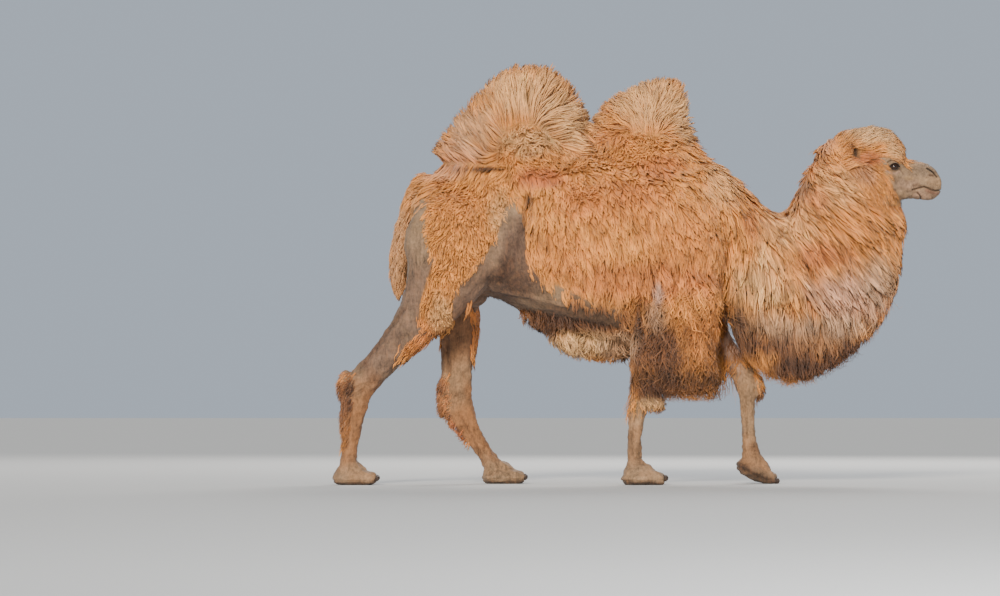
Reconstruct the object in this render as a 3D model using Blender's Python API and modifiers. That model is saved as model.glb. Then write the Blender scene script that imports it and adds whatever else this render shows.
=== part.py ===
"""A bactrian camel in moult, walking, life size. Metres, +X towards the head, +Y its left, +Z up.

The origin is on the floor, under the middle of the whole animal. The outer surface of every
solid is the outside of the coat, out to the tips of the wool. The body is blended from lofted
forms, and then parted into the pieces that a person would name.
"""

import math

import bmesh
import bpy
import numpy as np
from mathutils import Matrix, Vector

# Driving dimensions
GAP = 0.0004  # clearance between two neighbouring pieces
TRIM_GAP = 0.001  # clearance round the tail, udder and ears, which end on a rounded surface
TRACK = 0.165  # each foot's distance from the middle plane
REACH = 0.60  # wider than anything on the animal, for the regions that part it
# How finely each block is blended, how much its joins soften, and about how many triangles it keeps
BODY = {"voxel": 0.011, "soften": 6, "triangles": 2500}
HEAD = {"voxel": 0.0045, "soften": 9, "triangles": 1250}
SHANK = {"voxel": 0.006, "soften": 3, "triangles": 270}
TRIM = {"voxel": 0.006, "soften": 3, "triangles": 150}

# Trunk without its long wool: x, lowest z, highest z, half width
TRUNK = [
    (-1.165, 1.15, 1.42, 0.09),
    (-1.13, 1.03, 1.52, 0.18),
    (-1.04, 0.96, 1.60, 0.255),
    (-0.90, 0.97, 1.615, 0.285),
    (-0.74, 0.95, 1.635, 0.295),
    (-0.56, 0.86, 1.65, 0.315),
    (-0.36, 0.77, 1.665, 0.335),
    (-0.12, 0.71, 1.68, 0.345),
    (0.10, 0.68, 1.68, 0.34),
    (0.26, 0.71, 1.66, 0.315),
    (0.37, 0.82, 1.61, 0.27),
    (0.43, 0.98, 1.52, 0.20),
]
# The long wool over the ribs and shoulder, hanging to a ragged hem on each side
BODY_WOOL = [
    (-0.575, 1.20, 1.60, 0.29),
    (-0.55, 1.13, 1.66, 0.335),
    (-0.44, 1.01, 1.685, 0.36),
    (-0.25, 0.945, 1.70, 0.38),
    (0.00, 0.92, 1.70, 0.388),
    (0.20, 0.93, 1.69, 0.375),
    (0.35, 0.97, 1.62, 0.325),
    (0.42, 1.06, 1.54, 0.26),
]
# Humps, as level sections: z, rearmost x, foremost x, half width
REAR_HUMP = [
    (1.44, -0.98, -0.22, 0.28),
    (1.58, -1.025, -0.21, 0.265),
    (1.68, -1.045, -0.235, 0.245),
    (1.78, -0.995, -0.245, 0.22),
    (1.87, -0.93, -0.27, 0.19),
    (1.95, -0.865, -0.305, 0.165),
    (2.02, -0.80, -0.345, 0.135),
    (2.08, -0.725, -0.41, 0.095),
    (2.125, -0.64, -0.48, 0.05),
]
FRONT_HUMP = [
    (1.50, -0.22, 0.42, 0.27),
    (1.62, -0.225, 0.395, 0.25),
    (1.71, -0.235, 0.32, 0.225),
    (1.80, -0.24, 0.275, 0.195),
    (1.88, -0.225, 0.255, 0.165),
    (1.94, -0.18, 0.25, 0.14),
    (1.99, -0.105, 0.24, 0.112),
    (2.03, -0.02, 0.225, 0.08),
    (2.064, 0.06, 0.195, 0.045),
]
# Neck with its ruff and beard: top x, top z, bottom x, bottom z, half width
NECK = [
    (0.26, 1.70, 0.35, 0.95, 0.26),
    (0.40, 1.645, 0.44, 0.80, 0.24),
    (0.53, 1.535, 0.53, 0.68, 0.22),
    (0.65, 1.412, 0.63, 0.59, 0.205),
    (0.735, 1.39, 0.78, 0.545, 0.195),
    (0.78, 1.46, 0.93, 0.59, 0.19),
    (0.81, 1.54, 1.07, 0.685, 0.185),
    (0.84, 1.605, 1.19, 0.80, 0.18),
    (0.865, 1.66, 1.275, 0.925, 0.175),
    (0.895, 1.71, 1.32, 1.07, 0.17),
    (0.935, 1.745, 1.338, 1.23, 0.16),
    (1.00, 1.76, 1.35, 1.37, 0.145),
    (1.06, 1.745, 1.335, 1.45, 0.12),
]
# Skull, face and muzzle: x, lowest z, highest z, half width
SKULL = [
    (0.99, 1.53, 1.70, 0.075),
    (1.05, 1.48, 1.735, 0.115),
    (1.14, 1.455, 1.745, 0.128),
    (1.23, 1.448, 1.725, 0.118),
    (1.30, 1.45, 1.69, 0.096),
    (1.36, 1.455, 1.66, 0.075),
    (1.42, 1.458, 1.65, 0.064),
    (1.47, 1.455, 1.636, 0.060),
    (1.505, 1.462, 1.61, 0.054),
    (1.53, 1.482, 1.575, 0.040),
    (1.54, 1.50, 1.55, 0.022),
]
# The woolly cap over the skull, from the nape to the forelock: x, lowest z, highest z, half width
CAP = [
    (0.90, 1.62, 1.73, 0.085),
    (0.95, 1.60, 1.775, 0.115),
    (1.02, 1.585, 1.793, 0.130),
    (1.10, 1.585, 1.812, 0.134),
    (1.19, 1.595, 1.828, 0.128),
    (1.26, 1.612, 1.812, 0.112),
    (1.31, 1.632, 1.780, 0.092),
    (1.34, 1.650, 1.738, 0.068),
    (1.354, 1.672, 1.705, 0.036),
]
# Tail: x, y, z, half depth, half width
TAIL = [
    (-1.03, 0.0, 1.50, 0.055, 0.06),
    (-1.09, 0.0, 1.555, 0.045, 0.055),
    (-1.135, 0.0, 1.53, 0.042, 0.05),
    (-1.165, 0.0, 1.46, 0.040, 0.048),
    (-1.190, 0.0, 1.37, 0.044, 0.052),
    (-1.210, 0.0, 1.26, 0.055, 0.060),
    (-1.226, 0.0, 1.14, 0.060, 0.062),
    (-1.232, 0.0, 1.03, 0.045, 0.048),
    (-1.228, 0.0, 0.945, 0.014, 0.018),
]
# Legs: x, distance from the middle plane, z, half depth, half width
LEGS = {
    "hind_right": [
        (-0.93, 0.13, 1.38, 0.20, 0.13),
        (-0.955, 0.17, 1.23, 0.245, 0.145),
        (-0.985, 0.185, 1.07, 0.215, 0.14),
        (-1.07, 0.185, 0.91, 0.150, 0.115),
        (-1.19, 0.18, 0.76, 0.098, 0.085),
        (-1.312, 0.175, 0.62, 0.080, 0.064),
        (-1.415, 0.17, 0.505, 0.077, 0.054),
        (-1.447, 0.167, 0.40, 0.066, 0.048),
        (-1.46, TRACK, 0.29, 0.051, 0.041),
        (-1.472, TRACK, 0.18, 0.041, 0.038),
        (-1.476, TRACK, 0.11, 0.047, 0.045),
        (-1.455, TRACK, 0.05, 0.05, 0.05),
    ],
    "hind_left": [
        (-0.93, 0.13, 1.38, 0.20, 0.13),
        (-0.95, 0.17, 1.23, 0.23, 0.145),
        (-0.955, 0.185, 1.07, 0.185, 0.14),
        (-0.935, 0.185, 0.92, 0.120, 0.115),
        (-0.928, 0.18, 0.77, 0.098, 0.085),
        (-0.935, 0.175, 0.62, 0.083, 0.064),
        (-0.937, 0.17, 0.49, 0.079, 0.054),
        (-0.925, 0.167, 0.395, 0.076, 0.05),
        (-0.872, TRACK, 0.28, 0.055, 0.042),
        (-0.80, TRACK, 0.17, 0.042, 0.038),
        (-0.757, TRACK, 0.105, 0.047, 0.045),
        (-0.72, TRACK, 0.05, 0.05, 0.05),
    ],
    "fore_right": [
        (0.24, 0.15, 1.30, 0.17, 0.11),
        (0.20, 0.20, 1.12, 0.15, 0.11),
        (0.115, 0.20, 0.97, 0.12, 0.10),
        (0.055, 0.19, 0.84, 0.088, 0.08),
        (0.025, 0.18, 0.68, 0.066, 0.06),
        (0.01, 0.17, 0.535, 0.058, 0.055),
        (0.003, TRACK, 0.455, 0.065, 0.06),
        (-0.018, TRACK, 0.37, 0.046, 0.045),
        (-0.033, TRACK, 0.25, 0.037, 0.036),
        (-0.035, TRACK, 0.15, 0.038, 0.038),
        (-0.03, TRACK, 0.095, 0.047, 0.047),
        (-0.01, TRACK, 0.045, 0.052, 0.055),
    ],
    "fore_left": [
        (0.24, 0.15, 1.30, 0.17, 0.11),
        (0.255, 0.20, 1.12, 0.15, 0.11),
        (0.29, 0.20, 0.97, 0.12, 0.10),
        (0.345, 0.19, 0.85, 0.088, 0.08),
        (0.425, 0.18, 0.72, 0.066, 0.06),
        (0.505, 0.172, 0.61, 0.059, 0.055),
        (0.545, TRACK, 0.55, 0.066, 0.06),
        (0.557, TRACK, 0.455, 0.046, 0.045),
        (0.561, TRACK, 0.34, 0.037, 0.036),
        (0.567, TRACK, 0.235, 0.038, 0.038),
        (0.574, TRACK, 0.17, 0.047, 0.046),
        (0.592, TRACK, 0.105, 0.05, 0.052),
    ],
}
# The middle of each foot, and how far its toes point down, in degrees
FEET = {
    "hind_right": (-1.445, 0.030, 0.0),
    "hind_left": (-0.695, 0.030, 0.0),
    "fore_right": (0.010, 0.030, 0.0),
    "fore_left": (0.605, 0.056, 25.0),
}
# The forms of a foot under its toes: name, x and z from the foot's middle, radii, tilt in degrees
PADS = [
    ("_pad", (-0.015, 0.0), (0.103, 0.090, 0.046), 0.0),
    ("_heel", (-0.05, 0.03), (0.055, 0.060, 0.040), 0.0),
    ("_instep", (0.0, 0.045), (0.075, 0.056, 0.040), 24.0),
]
# The shaggy curtain on each upper foreleg, as level sections: z, rearmost x, foremost x, y, half width
CURTAIN = [
    (1.10, 0.02, 0.37, 0.245, 0.10),
    (0.98, -0.02, 0.41, 0.250, 0.118),
    (0.84, -0.05, 0.40, 0.240, 0.122),
    (0.68, -0.065, 0.38, 0.222, 0.116),
    (0.58, -0.065, 0.40, 0.210, 0.100),
    (0.525, -0.04, 0.40, 0.202, 0.080),
    (0.485, 0.03, 0.34, 0.200, 0.045),
]
CURTAIN_STEP = {"right": 0.0, "left": 0.07}  # how far forward the leg carries it
# Shaggy tufts left on the hocks and knees: x and z, radii
TUFTS = {
    "hind_right": ((-1.495, 0.50), (0.034, 0.048, 0.085)),
    "hind_left": ((-1.005, 0.455), (0.032, 0.048, 0.10)),
    "fore_right": ((0.062, 0.425), (0.055, 0.046, 0.048)),
    "fore_left": ((0.607, 0.51), (0.036, 0.045, 0.072)),
}
UDDER = ((-0.855, 0.0, 0.975), (0.085, 0.085, 0.078))
EYE = (1.286, 0.0885, 1.613)
EYE_RADIUS = 0.0235
EAR = {"root": (1.083, 0.128, 1.655), "length": 0.115, "width": 0.034, "depth": 0.020}
EAR_TIP = (-0.22, 0.52, 0.83)  # the way the left ear points
EAR_FACE = (0.62, 0.72, -0.25)  # the way its open side looks

# Where the body is parted, as outlines seen from the side: x, z
WITHERS, BRISKET = (0.40, 1.90), (0.445, 0.93)
NOTCH, NECK_MIDDLE, THROAT = (0.665, 1.90), (0.84, 0.95), (1.45, 1.04)
HEAD_EDGE = [(0.985, 1.90), (0.985, 1.62), (1.09, 1.475), (1.20, 1.432), (1.60, 1.40)]
REGIONS = {
    "head": [*HEAD_EDGE, (1.60, 1.90)],
    "hump_rear": [(-1.20, 1.645), (-0.98, 1.625), (-0.62, 1.62), (-0.36, 1.70), (-0.242, 1.80),
                  (-0.242, 2.30), (-1.20, 2.30)],
    "hump_front": [(-0.242, 1.80), (-0.08, 1.72), (0.12, 1.69), (0.27, 1.74), (0.38, 1.85),
                   (0.38, 2.30), (-0.242, 2.30)],
    "neck_upper": [NOTCH, (0.665, 1.40), NECK_MIDDLE, THROAT, (1.45, 1.90)],
    "beard": [BRISKET, NECK_MIDDLE, THROAT, (1.45, 0.30), (0.445, 0.30)],
    "neck_lower": [WITHERS, (0.445, 1.45), BRISKET, NECK_MIDDLE, (0.665, 1.40), NOTCH],
}
MOUTH = [(1.235, 1.30), (1.235, 1.468), (1.385, 1.497), (1.43, 1.506), (1.60, 1.498), (1.60, 1.30)]
LOWER_LEG = {
    "hind_right": [(-1.46, 0.77), (-1.19, 0.51), (-1.15, -0.2), (-1.75, -0.2), (-1.75, 0.77)],
    "hind_left": [(-1.12, 0.60), (-0.74, 0.60), (-0.40, 0.3), (-0.40, -0.2), (-1.12, -0.2)],
    "fore_right": [(-0.15, 0.478), (0.13, 0.478), (0.20, 0.30), (0.20, -0.2), (-0.20, -0.2)],
    "fore_left": [(0.455, 0.575), (0.66, 0.713), (0.80, -0.20), (0.455, -0.20)],
}
UPPER_LEG = {
    "hind_right": [(-1.60, 0.40), (-1.60, 1.12), (-1.32, 1.22), (-1.10, 1.35), (-0.84, 1.31),
                   (-0.69, 1.14), (-0.71, 0.99), (-0.85, 0.88), (-0.98, 0.40)],
    "hind_left": [(-1.30, 0.40), (-1.30, 1.22), (-1.10, 1.35), (-0.84, 1.31), (-0.69, 1.14),
                  (-0.72, 0.99), (-0.80, 0.90), (-0.76, 0.40)],
    "fore_right": [(-0.12, 0.30), (-0.12, 0.84), (-0.06, 0.98), (0.10, 1.05), (0.28, 1.06),
                   (0.44, 1.00), (0.44, 0.30)],
    "fore_left": [(-0.02, 0.30), (-0.02, 0.84), (0.03, 0.98), (0.16, 1.05), (0.32, 1.06),
                  (0.43, 1.00), (0.49, 0.80), (0.68, 0.76), (0.68, 0.30)],
}
# Each foot is parted from its leg by this block, placed at the foot's own middle
SOLE = [(-0.3, -0.3), (0.3, -0.3), (0.3, 0.06), (-0.3, 0.06)]
GROUND = [(-2.0, -1.0), (2.0, -1.0), (2.0, 0.0), (-2.0, 0.0)]

COLOURS = {  # Linear base colour and roughness
    "wool": ((0.62, 0.40, 0.20, 1.0), 0.9),
    "hide": ((0.36, 0.28, 0.22, 1.0), 0.8),
    "eye": ((0.02, 0.012, 0.008, 1.0), 0.12),
    "nail": ((0.10, 0.08, 0.065, 1.0), 0.5),
}


def clear_scene():
    for obj in list(bpy.data.objects):
        bpy.data.objects.remove(obj, do_unlink=True)


def collection(name):
    made = bpy.data.collections.new(name)
    bpy.context.scene.collection.children.link(made)
    return made


def side_of(leg):
    return -1.0 if leg.endswith("right") else 1.0


def object_of(mesh_or_bm, name, into):
    """An object named name, from a mesh or from a bmesh, which is freed."""
    mesh = mesh_or_bm
    if isinstance(mesh_or_bm, bmesh.types.BMesh):
        mesh = bpy.data.meshes.new(name)
        mesh_or_bm.to_mesh(mesh)
        mesh_or_bm.free()
    obj = bpy.data.objects.new(name, mesh)
    into.objects.link(obj)
    return obj


def smooth_rows(rows, steps=5):
    """The rows of a table read from a Catmull-Rom curve through them, steps to each gap."""
    rows = np.array(rows, float)
    padded = np.vstack([2 * rows[0] - rows[1], rows, 2 * rows[-1] - rows[-2]])
    found = []
    for a, b, c, d in zip(padded, padded[1:], padded[2:], padded[3:], strict=False):
        for t in np.arange(steps) / steps:
            found.append(
                0.5 * (2 * b + (c - a) * t + (2 * a - 5 * b + 4 * c - d) * t**2)
                + 0.5 * (3 * b - 3 * c + d - a) * t**3
            )
    return np.array([*found, rows[-1]])


def ring(middle, across, above, below, egg=0.0, power=2.0, sides=28):
    """A closed section round middle. across is the half width as a vector, above and below the
    two half heights. egg narrows it upwards, or downwards where egg is under 0."""
    turn = np.linspace(0, 2 * math.pi, sides, endpoint=False)
    side, rise = np.cos(turn), np.sin(turn)
    side = np.sign(side) * np.abs(side) ** (2 / power)
    rise = np.sign(rise) * np.abs(rise) ** (2 / power)
    up = np.where(rise[:, None] > 0, rise[:, None] * above, -rise[:, None] * below)
    return middle + side[:, None] * (1 - egg * rise)[:, None] * across + up


def loft(name, rings, into):
    """One closed form over its rings, with a flat cap at each end."""
    bm = bmesh.new()
    loops = [[bm.verts.new(p) for p in points] for points in rings]
    for low, high in zip(loops, loops[1:], strict=False):
        for i in range(len(low)):
            bm.faces.new((low[i - 1], low[i], high[i], high[i - 1]))
    bm.faces.new(loops[0])
    bm.faces.new(loops[-1])
    bmesh.ops.recalc_face_normals(bm, faces=bm.faces)
    return object_of(bm, name, into)


def barrel(name, rows, into, egg=0.0, power=2.0, waist=0.45):
    """A loft of upright sections along X: x, lowest z, highest z, half width."""
    rings = []
    for x, low, high, half in smooth_rows(rows):
        middle = low + waist * (high - low)
        above, below = np.array((0, 0, high - middle)), np.array((0, 0, low - middle))
        rings.append(
            ring(np.array((x, 0, middle)), np.array((0, half, 0)), above, below, egg, power)
        )
    return loft(name, rings, into)


def mound(name, rows, into, side=0.0, step=0.0):
    """A loft of level sections: z, rearmost x, foremost x, [y,] half width."""
    rings = []
    for row in smooth_rows(rows):
        z, rear, fore, half = row[0], row[1] + step, row[2] + step, row[-1]
        y = side * row[3] if len(row) == 5 else 0.0
        middle = np.array(((rear + fore) / 2, y, z))
        reach = np.array(((fore - rear) / 2, 0, 0))
        rings.append(ring(middle, np.array((0, half, 0)), reach, -reach))
    return loft(name, rings, into)


def limb(name, rows, into, side=1.0):
    """A loft square to its own line: x, distance from the middle plane, z, half depth, half width."""
    rows = smooth_rows(rows)
    line = rows[:, :3] * (1, side, 1)
    along = np.gradient(line, axis=0)
    along /= np.linalg.norm(along, axis=1)[:, None]
    lateral = np.array((0.0, 1.0, 0.0))
    rings = []
    for point, way, half_depth, half_width in zip(line, along, rows[:, 3], rows[:, 4], strict=True):
        depth = np.cross(way, lateral)
        depth *= half_depth / np.linalg.norm(depth)
        rings.append(ring(point, half_width * lateral, depth, -depth))
    return loft(name, rings, into)


def neck_form(name, rows, into):
    """The neck's sections run from its top line to the hem of the beard, and narrow downwards."""
    rings = []
    for top_x, top_z, low_x, low_z, half in smooth_rows(rows):
        top, low = np.array((top_x, 0, top_z)), np.array((low_x, 0, low_z))
        middle = top + 0.42 * (low - top)
        rings.append(ring(middle, np.array((0, half, 0)), top - middle, low - middle, -0.28))
    return loft(name, rings, into)


def ball(name, middle, radii, into, pitch=0.0, yaw=0.0, roll=0.0, segments=24):
    """An ellipsoid, turned by roll about X, pitch about Y, then yaw about Z, in degrees."""
    bm = bmesh.new()
    bmesh.ops.create_uvsphere(bm, u_segments=segments, v_segments=segments // 2, radius=1.0)
    turn = (
        Matrix.Rotation(math.radians(yaw), 4, "Z")
        @ Matrix.Rotation(math.radians(pitch), 4, "Y")
        @ Matrix.Rotation(math.radians(roll), 4, "X")
    )
    bm.transform(Matrix.Translation(middle) @ turn @ Matrix.Diagonal((*radii, 1)))
    return object_of(bm, name, into)


def pair(name, middle, radii, into, **turns):
    """The same ellipsoid on both sides of the middle plane."""
    x, y, z = middle
    mirrored = {k: -v if k in ("yaw", "roll") else v for k, v in turns.items()}
    return [
        ball(name + "_left", (x, y, z), radii, into, **turns),
        ball(name + "_right", (x, -y, z), radii, into, **mirrored),
    ]


def prism(name, outline, near, far, into):
    """A closed region: an outline of x and z, run along Y."""
    bm = bmesh.new()
    face = bm.faces.new([bm.verts.new((x, near, z)) for x, z in outline])
    moved = bmesh.ops.extrude_face_region(bm, geom=[face])["geom"]
    corners = [v for v in moved if isinstance(v, bmesh.types.BMVert)]
    bmesh.ops.translate(bm, verts=corners, vec=(0, far - near, 0))
    bmesh.ops.recalc_face_normals(bm, faces=bm.faces)
    return object_of(bm, name, into)


def evaluated(obj, name, into):
    """A new object from obj as its modifiers leave it, without them."""
    graph = bpy.context.evaluated_depsgraph_get()
    mesh = bpy.data.meshes.new_from_object(obj.evaluated_get(graph))
    mesh.transform(obj.matrix_world)
    return object_of(mesh, name, into)


def blended(name, forms, finish, into):
    """The forms fused into one closed skin, its joins softened, in about finish["triangles"]."""
    bm = bmesh.new()
    for form in forms:
        bm.from_mesh(form.data)
    whole = object_of(bm, name + "_forms", into)
    fuse = whole.modifiers.new("fuse", "REMESH")
    fuse.mode, fuse.voxel_size = "VOXEL", finish["voxel"]
    soften = whole.modifiers.new("soften", "SMOOTH")
    soften.factor, soften.iterations = 0.5, finish["soften"]
    bpy.context.view_layer.update()
    fused = evaluated(whole, name + "_fused", into)
    fused.data.calc_loop_triangles()
    thin = fused.modifiers.new("thin", "DECIMATE")
    thin.ratio = min(1.0, finish["triangles"] / len(fused.data.loop_triangles))
    bpy.context.view_layer.update()
    made = evaluated(fused, name, into)
    for used in (whole, fused):
        bpy.data.objects.remove(used)
    return made


def cut(obj, operation, cutter, name, into):
    """A new object: obj less the cutter, or the part of obj that is inside it."""
    modifier = obj.modifiers.new("cut", "BOOLEAN")
    modifier.operation, modifier.object, modifier.solver = operation, cutter, "EXACT"
    bpy.context.view_layer.update()
    made = evaluated(obj, name, into)
    obj.modifiers.remove(modifier)
    return made


def grown(region, into, gap=GAP):
    """The region with its faces moved out by the gap."""
    bm = bmesh.new()
    bm.from_mesh(region.data)
    bmesh.ops.recalc_face_normals(bm, faces=bm.faces)
    bm.normal_update()
    moves = {v: v.calc_shell_factor() * v.normal * gap for v in bm.verts}
    for v, move in moves.items():
        v.co += move
    return object_of(bm, region.name + "_grown", into)


def largest_body(obj):
    """Drops the slivers that a cut can leave loose beside the piece itself."""
    bm = bmesh.new()
    bm.from_mesh(obj.data)
    bm.verts.ensure_lookup_table()
    left, islands = set(bm.verts), []
    while left:
        island, edge = set(), [left.pop()]
        while edge:
            v = edge.pop()
            island.add(v)
            near = {e.other_vert(v) for e in v.link_edges} & left
            left -= near
            edge += near
        islands.append(island)
    islands.sort(key=len, reverse=True)
    for island in islands[1:]:
        bmesh.ops.delete(bm, geom=list(island), context="VERTS")
    bm.to_mesh(obj.data)
    bm.free()


def carve(rest, region, name, into, shop):
    """The part of rest inside the region, and what is left of rest. The gap comes off the latter."""
    piece = cut(rest, "INTERSECT", region, name, into)
    left = cut(rest, "DIFFERENCE", grown(region, shop), rest.name + "_left", shop)
    bpy.data.objects.remove(rest)
    return piece, left


def foot_place(leg, side):
    """The foot's own place: its middle and the slope of its sole."""
    x, z, pitch = FEET[leg]
    return Matrix.Translation((x, side * TRACK, z)) @ Matrix.Rotation(math.radians(pitch), 4, "Y")


def foot_forms(leg, side, into):
    """A broad pad split into two toes at the front, round the end of the leg, and two nails."""
    pitch = FEET[leg][2]
    place = foot_place(leg, side)
    forms = []
    for name, (x, z), radii, tilt in PADS:
        forms.append(ball(leg + name, place @ Vector((x, 0, z)), radii, into, pitch=pitch + tilt))
    nails = []
    for toe in (side, -side):
        middle = place @ Vector((0.052, toe * 0.041, 0.002))
        forms.append(ball(leg + "_toe", middle, (0.068, 0.042, 0.041), into, pitch=pitch, yaw=toe * 6))
        middle = place @ Vector((0.106, toe * 0.046, 0.004))
        radii = (0.019, 0.0165, 0.017)
        nails.append(ball(leg + "_nail", middle, radii, into, pitch=pitch - 25, yaw=toe * 6, segments=8))
    return forms, nails


def head_forms(into):
    """Skull and muzzle, with brow, cheeks, lips, nostrils and the woolly crown."""
    forms = [
        barrel("skull", SKULL, into, egg=0.09, power=2.25, waist=0.5),
        barrel("cap", CAP, into, egg=0.12, power=2.2, waist=0.42),
        ball("lower_lip", (1.475, 0, 1.478), (0.05, 0.044, 0.03), into, pitch=-8),
        ball("chin", (1.43, 0, 1.474), (0.055, 0.043, 0.024), into),
    ]
    forms += pair("brow", (1.278, 0.070, 1.648), (0.058, 0.032, 0.025), into, yaw=-14)
    forms += pair("orbit", (1.285, 0.070, 1.613), (0.054, 0.032, 0.042), into, yaw=-14)
    forms += pair("temple", (1.190, 0.080, 1.625), (0.095, 0.048, 0.085), into)
    forms += pair("cheek", (1.180, 0.082, 1.535), (0.130, 0.056, 0.100), into)
    forms += pair("ear_tuft", (1.070, 0.105, 1.655), (0.070, 0.045, 0.065), into)
    forms += pair("jaw", (1.30, 0.048, 1.488), (0.12, 0.030, 0.036), into, yaw=-10)
    forms += pair("upper_lip", (1.494, 0.024, 1.538), (0.048, 0.036, 0.048), into)
    forms += pair("nostril", (1.477, 0.036, 1.598), (0.038, 0.021, 0.026), into, pitch=28, yaw=-12)
    return forms


def body_forms(into):
    """Trunk, humps, neck and belly, with the wool that hangs from them."""
    forms = [
        barrel("trunk_form", TRUNK, into, egg=0.12, power=2.1),
        barrel("wool_form", BODY_WOOL, into, egg=0.10, power=2.3, waist=0.40),
        mound("rear_hump_form", REAR_HUMP, into),
        mound("front_hump_form", FRONT_HUMP, into),
        neck_form("neck_form", NECK, into),
        ball("belly_tufts", (-0.24, 0, 0.725), (0.235, 0.13, 0.078), into, pitch=8),
        ball("belly_tuft_rear", (-0.50, 0, 0.845), (0.11, 0.10, 0.055), into, pitch=25),
        ball("breast_pad", (0.13, 0, 0.70), (0.16, 0.13, 0.075), into),
    ]
    forms += pair("thigh_wool", (-0.955, 0.215, 1.20), (0.225, 0.110, 0.27), into, pitch=-14)
    forms += pair("shoulder", (0.23, 0.22, 1.22), (0.19, 0.14, 0.27), into, pitch=-15)
    for side, way in (("left", 1.0), ("right", -1.0)):
        forms.append(mound("curtain_" + side, CURTAIN, into, way, CURTAIN_STEP[side]))
    return forms


def ear(side, into):
    """A short leaf of an ear, scooped out on its open side."""
    mirror = Vector((1, side, 1))
    tip = (Vector(EAR_TIP) * mirror).normalized()
    face = Vector(EAR_FACE) * mirror
    face = (face - face.project(tip)).normalized()
    across = tip.cross(face)
    rings = []
    for share in np.linspace(0, 1, 7):
        half = EAR["width"] * math.sin(math.pi * (0.24 + 0.74 * share)) ** 0.8
        deep = EAR["depth"] * (1.05 - 0.75 * share)
        middle = Vector(EAR["root"]) * mirror + tip * EAR["length"] * (share - 0.12)
        section = []
        for angle in np.linspace(0, 2 * math.pi, 12, endpoint=False):
            scoop = 1.25 * max(0.0, math.sin(angle)) * math.sin(math.pi * min(1.0, share + 0.08))
            reach = face * deep * (math.sin(angle) - scoop)
            section.append(middle + across * half * math.cos(angle) + reach)
        rings.append(section)
    return loft("ear_form_" + ("left" if side > 0 else "right"), rings, into)


def dressed(obj, finish):
    """Gives the piece a material of its own."""
    colour, roughness = COLOURS[finish]
    made = bpy.data.materials.new(f"{obj.name}_{finish}")
    made.use_nodes = True
    shader = made.node_tree.nodes["Principled BSDF"]
    shader.inputs["Base Color"].default_value = colour
    shader.inputs["Roughness"].default_value = roughness
    shader.inputs["Metallic"].default_value = 0.0
    obj.data.materials.clear()
    obj.data.materials.append(made)


def make_leg(leg, body, camel, shop):
    """One leg in three parts with its nails. Gives back the body without it."""
    side = side_of(leg)
    lower = prism(leg + "_lower_region", LOWER_LEG[leg], *sorted((side * 0.02, side * REACH)), shop)
    upper = prism(leg + "_upper_region", UPPER_LEG[leg], *sorted((side * 0.085, side * REACH)), shop)
    _, body = carve(body, lower, leg + "_spare", shop, shop)
    thigh, body = carve(body, upper, leg + "_upper", camel, shop)
    dressed(thigh, "wool")

    # Below the knee or hock it is blended again, finer, with its foot
    forms, nails = foot_forms(leg, side, shop)
    forms.append(limb(leg + "_shank_form", LEGS[leg][4:], shop, side))
    (x, z), radii = TUFTS[leg]
    forms.append(ball(leg + "_tuft", (x, side * TRACK, z), radii, shop))
    shank = blended(leg + "_shank", forms, SHANK, shop)
    shank = cut(shank, "INTERSECT", lower, leg + "_shank", shop)
    ground = prism("ground", GROUND, -REACH, REACH, shop)
    shank = cut(shank, "DIFFERENCE", ground, leg + "_shank", shop)
    for nail, place in zip(nails, ("outer", "inner"), strict=True):
        tip = cut(nail, "DIFFERENCE", ground, f"nail_{leg}_{place}", camel)
        shank = cut(shank, "DIFFERENCE", grown(tip, shop), leg + "_shank", shop)
        dressed(tip, "nail")
    corners = [foot_place(leg, side) @ Vector((x, 0, z)) for x, z in SOLE]
    sole = prism(leg + "_foot_region", [(c.x, c.z) for c in corners], -REACH, REACH, shop)
    foot, shank = carve(shank, sole, "foot_" + leg, camel, shop)
    dressed(foot, "hide")
    keep(shank, leg + "_lower", "hide", camel)
    return body


def make_head(region, face, camel, shop):
    """The head with its lower jaw, ears and eyes, which all fit round each other."""
    crown = blended("crown", [*face, neck_form("neck_top", NECK[7:], shop)], HEAD, shop)
    head = cut(crown, "INTERSECT", region, "head_block", shop)
    for side, place in ((1, "left"), (-1, "right")):
        x, y, z = EYE
        eye = ball("eye_" + place, (x, side * y, z), (EYE_RADIUS,) * 3, camel, segments=16)
        head = cut(head, "DIFFERENCE", grown(eye, shop), "head_block", shop)
        dressed(eye, "eye")
        flap = cut(ear(side, shop), "DIFFERENCE", grown(head, shop, TRIM_GAP), "ear_" + place, camel)
        dressed(flap, "wool")
    mouth = prism("mouth_region", MOUTH, -REACH, REACH, shop)
    jaw, head = carve(head, mouth, "lower_jaw", camel, shop)
    dressed(jaw, "hide")
    keep(head, "head", "wool", camel)


def keep(obj, name, finish, camel):
    """Takes what is left of a block into the model as a piece of its own."""
    obj.name = name
    for held in list(obj.users_collection):
        held.objects.unlink(obj)
    camel.objects.link(obj)
    dressed(obj, finish)


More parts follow.
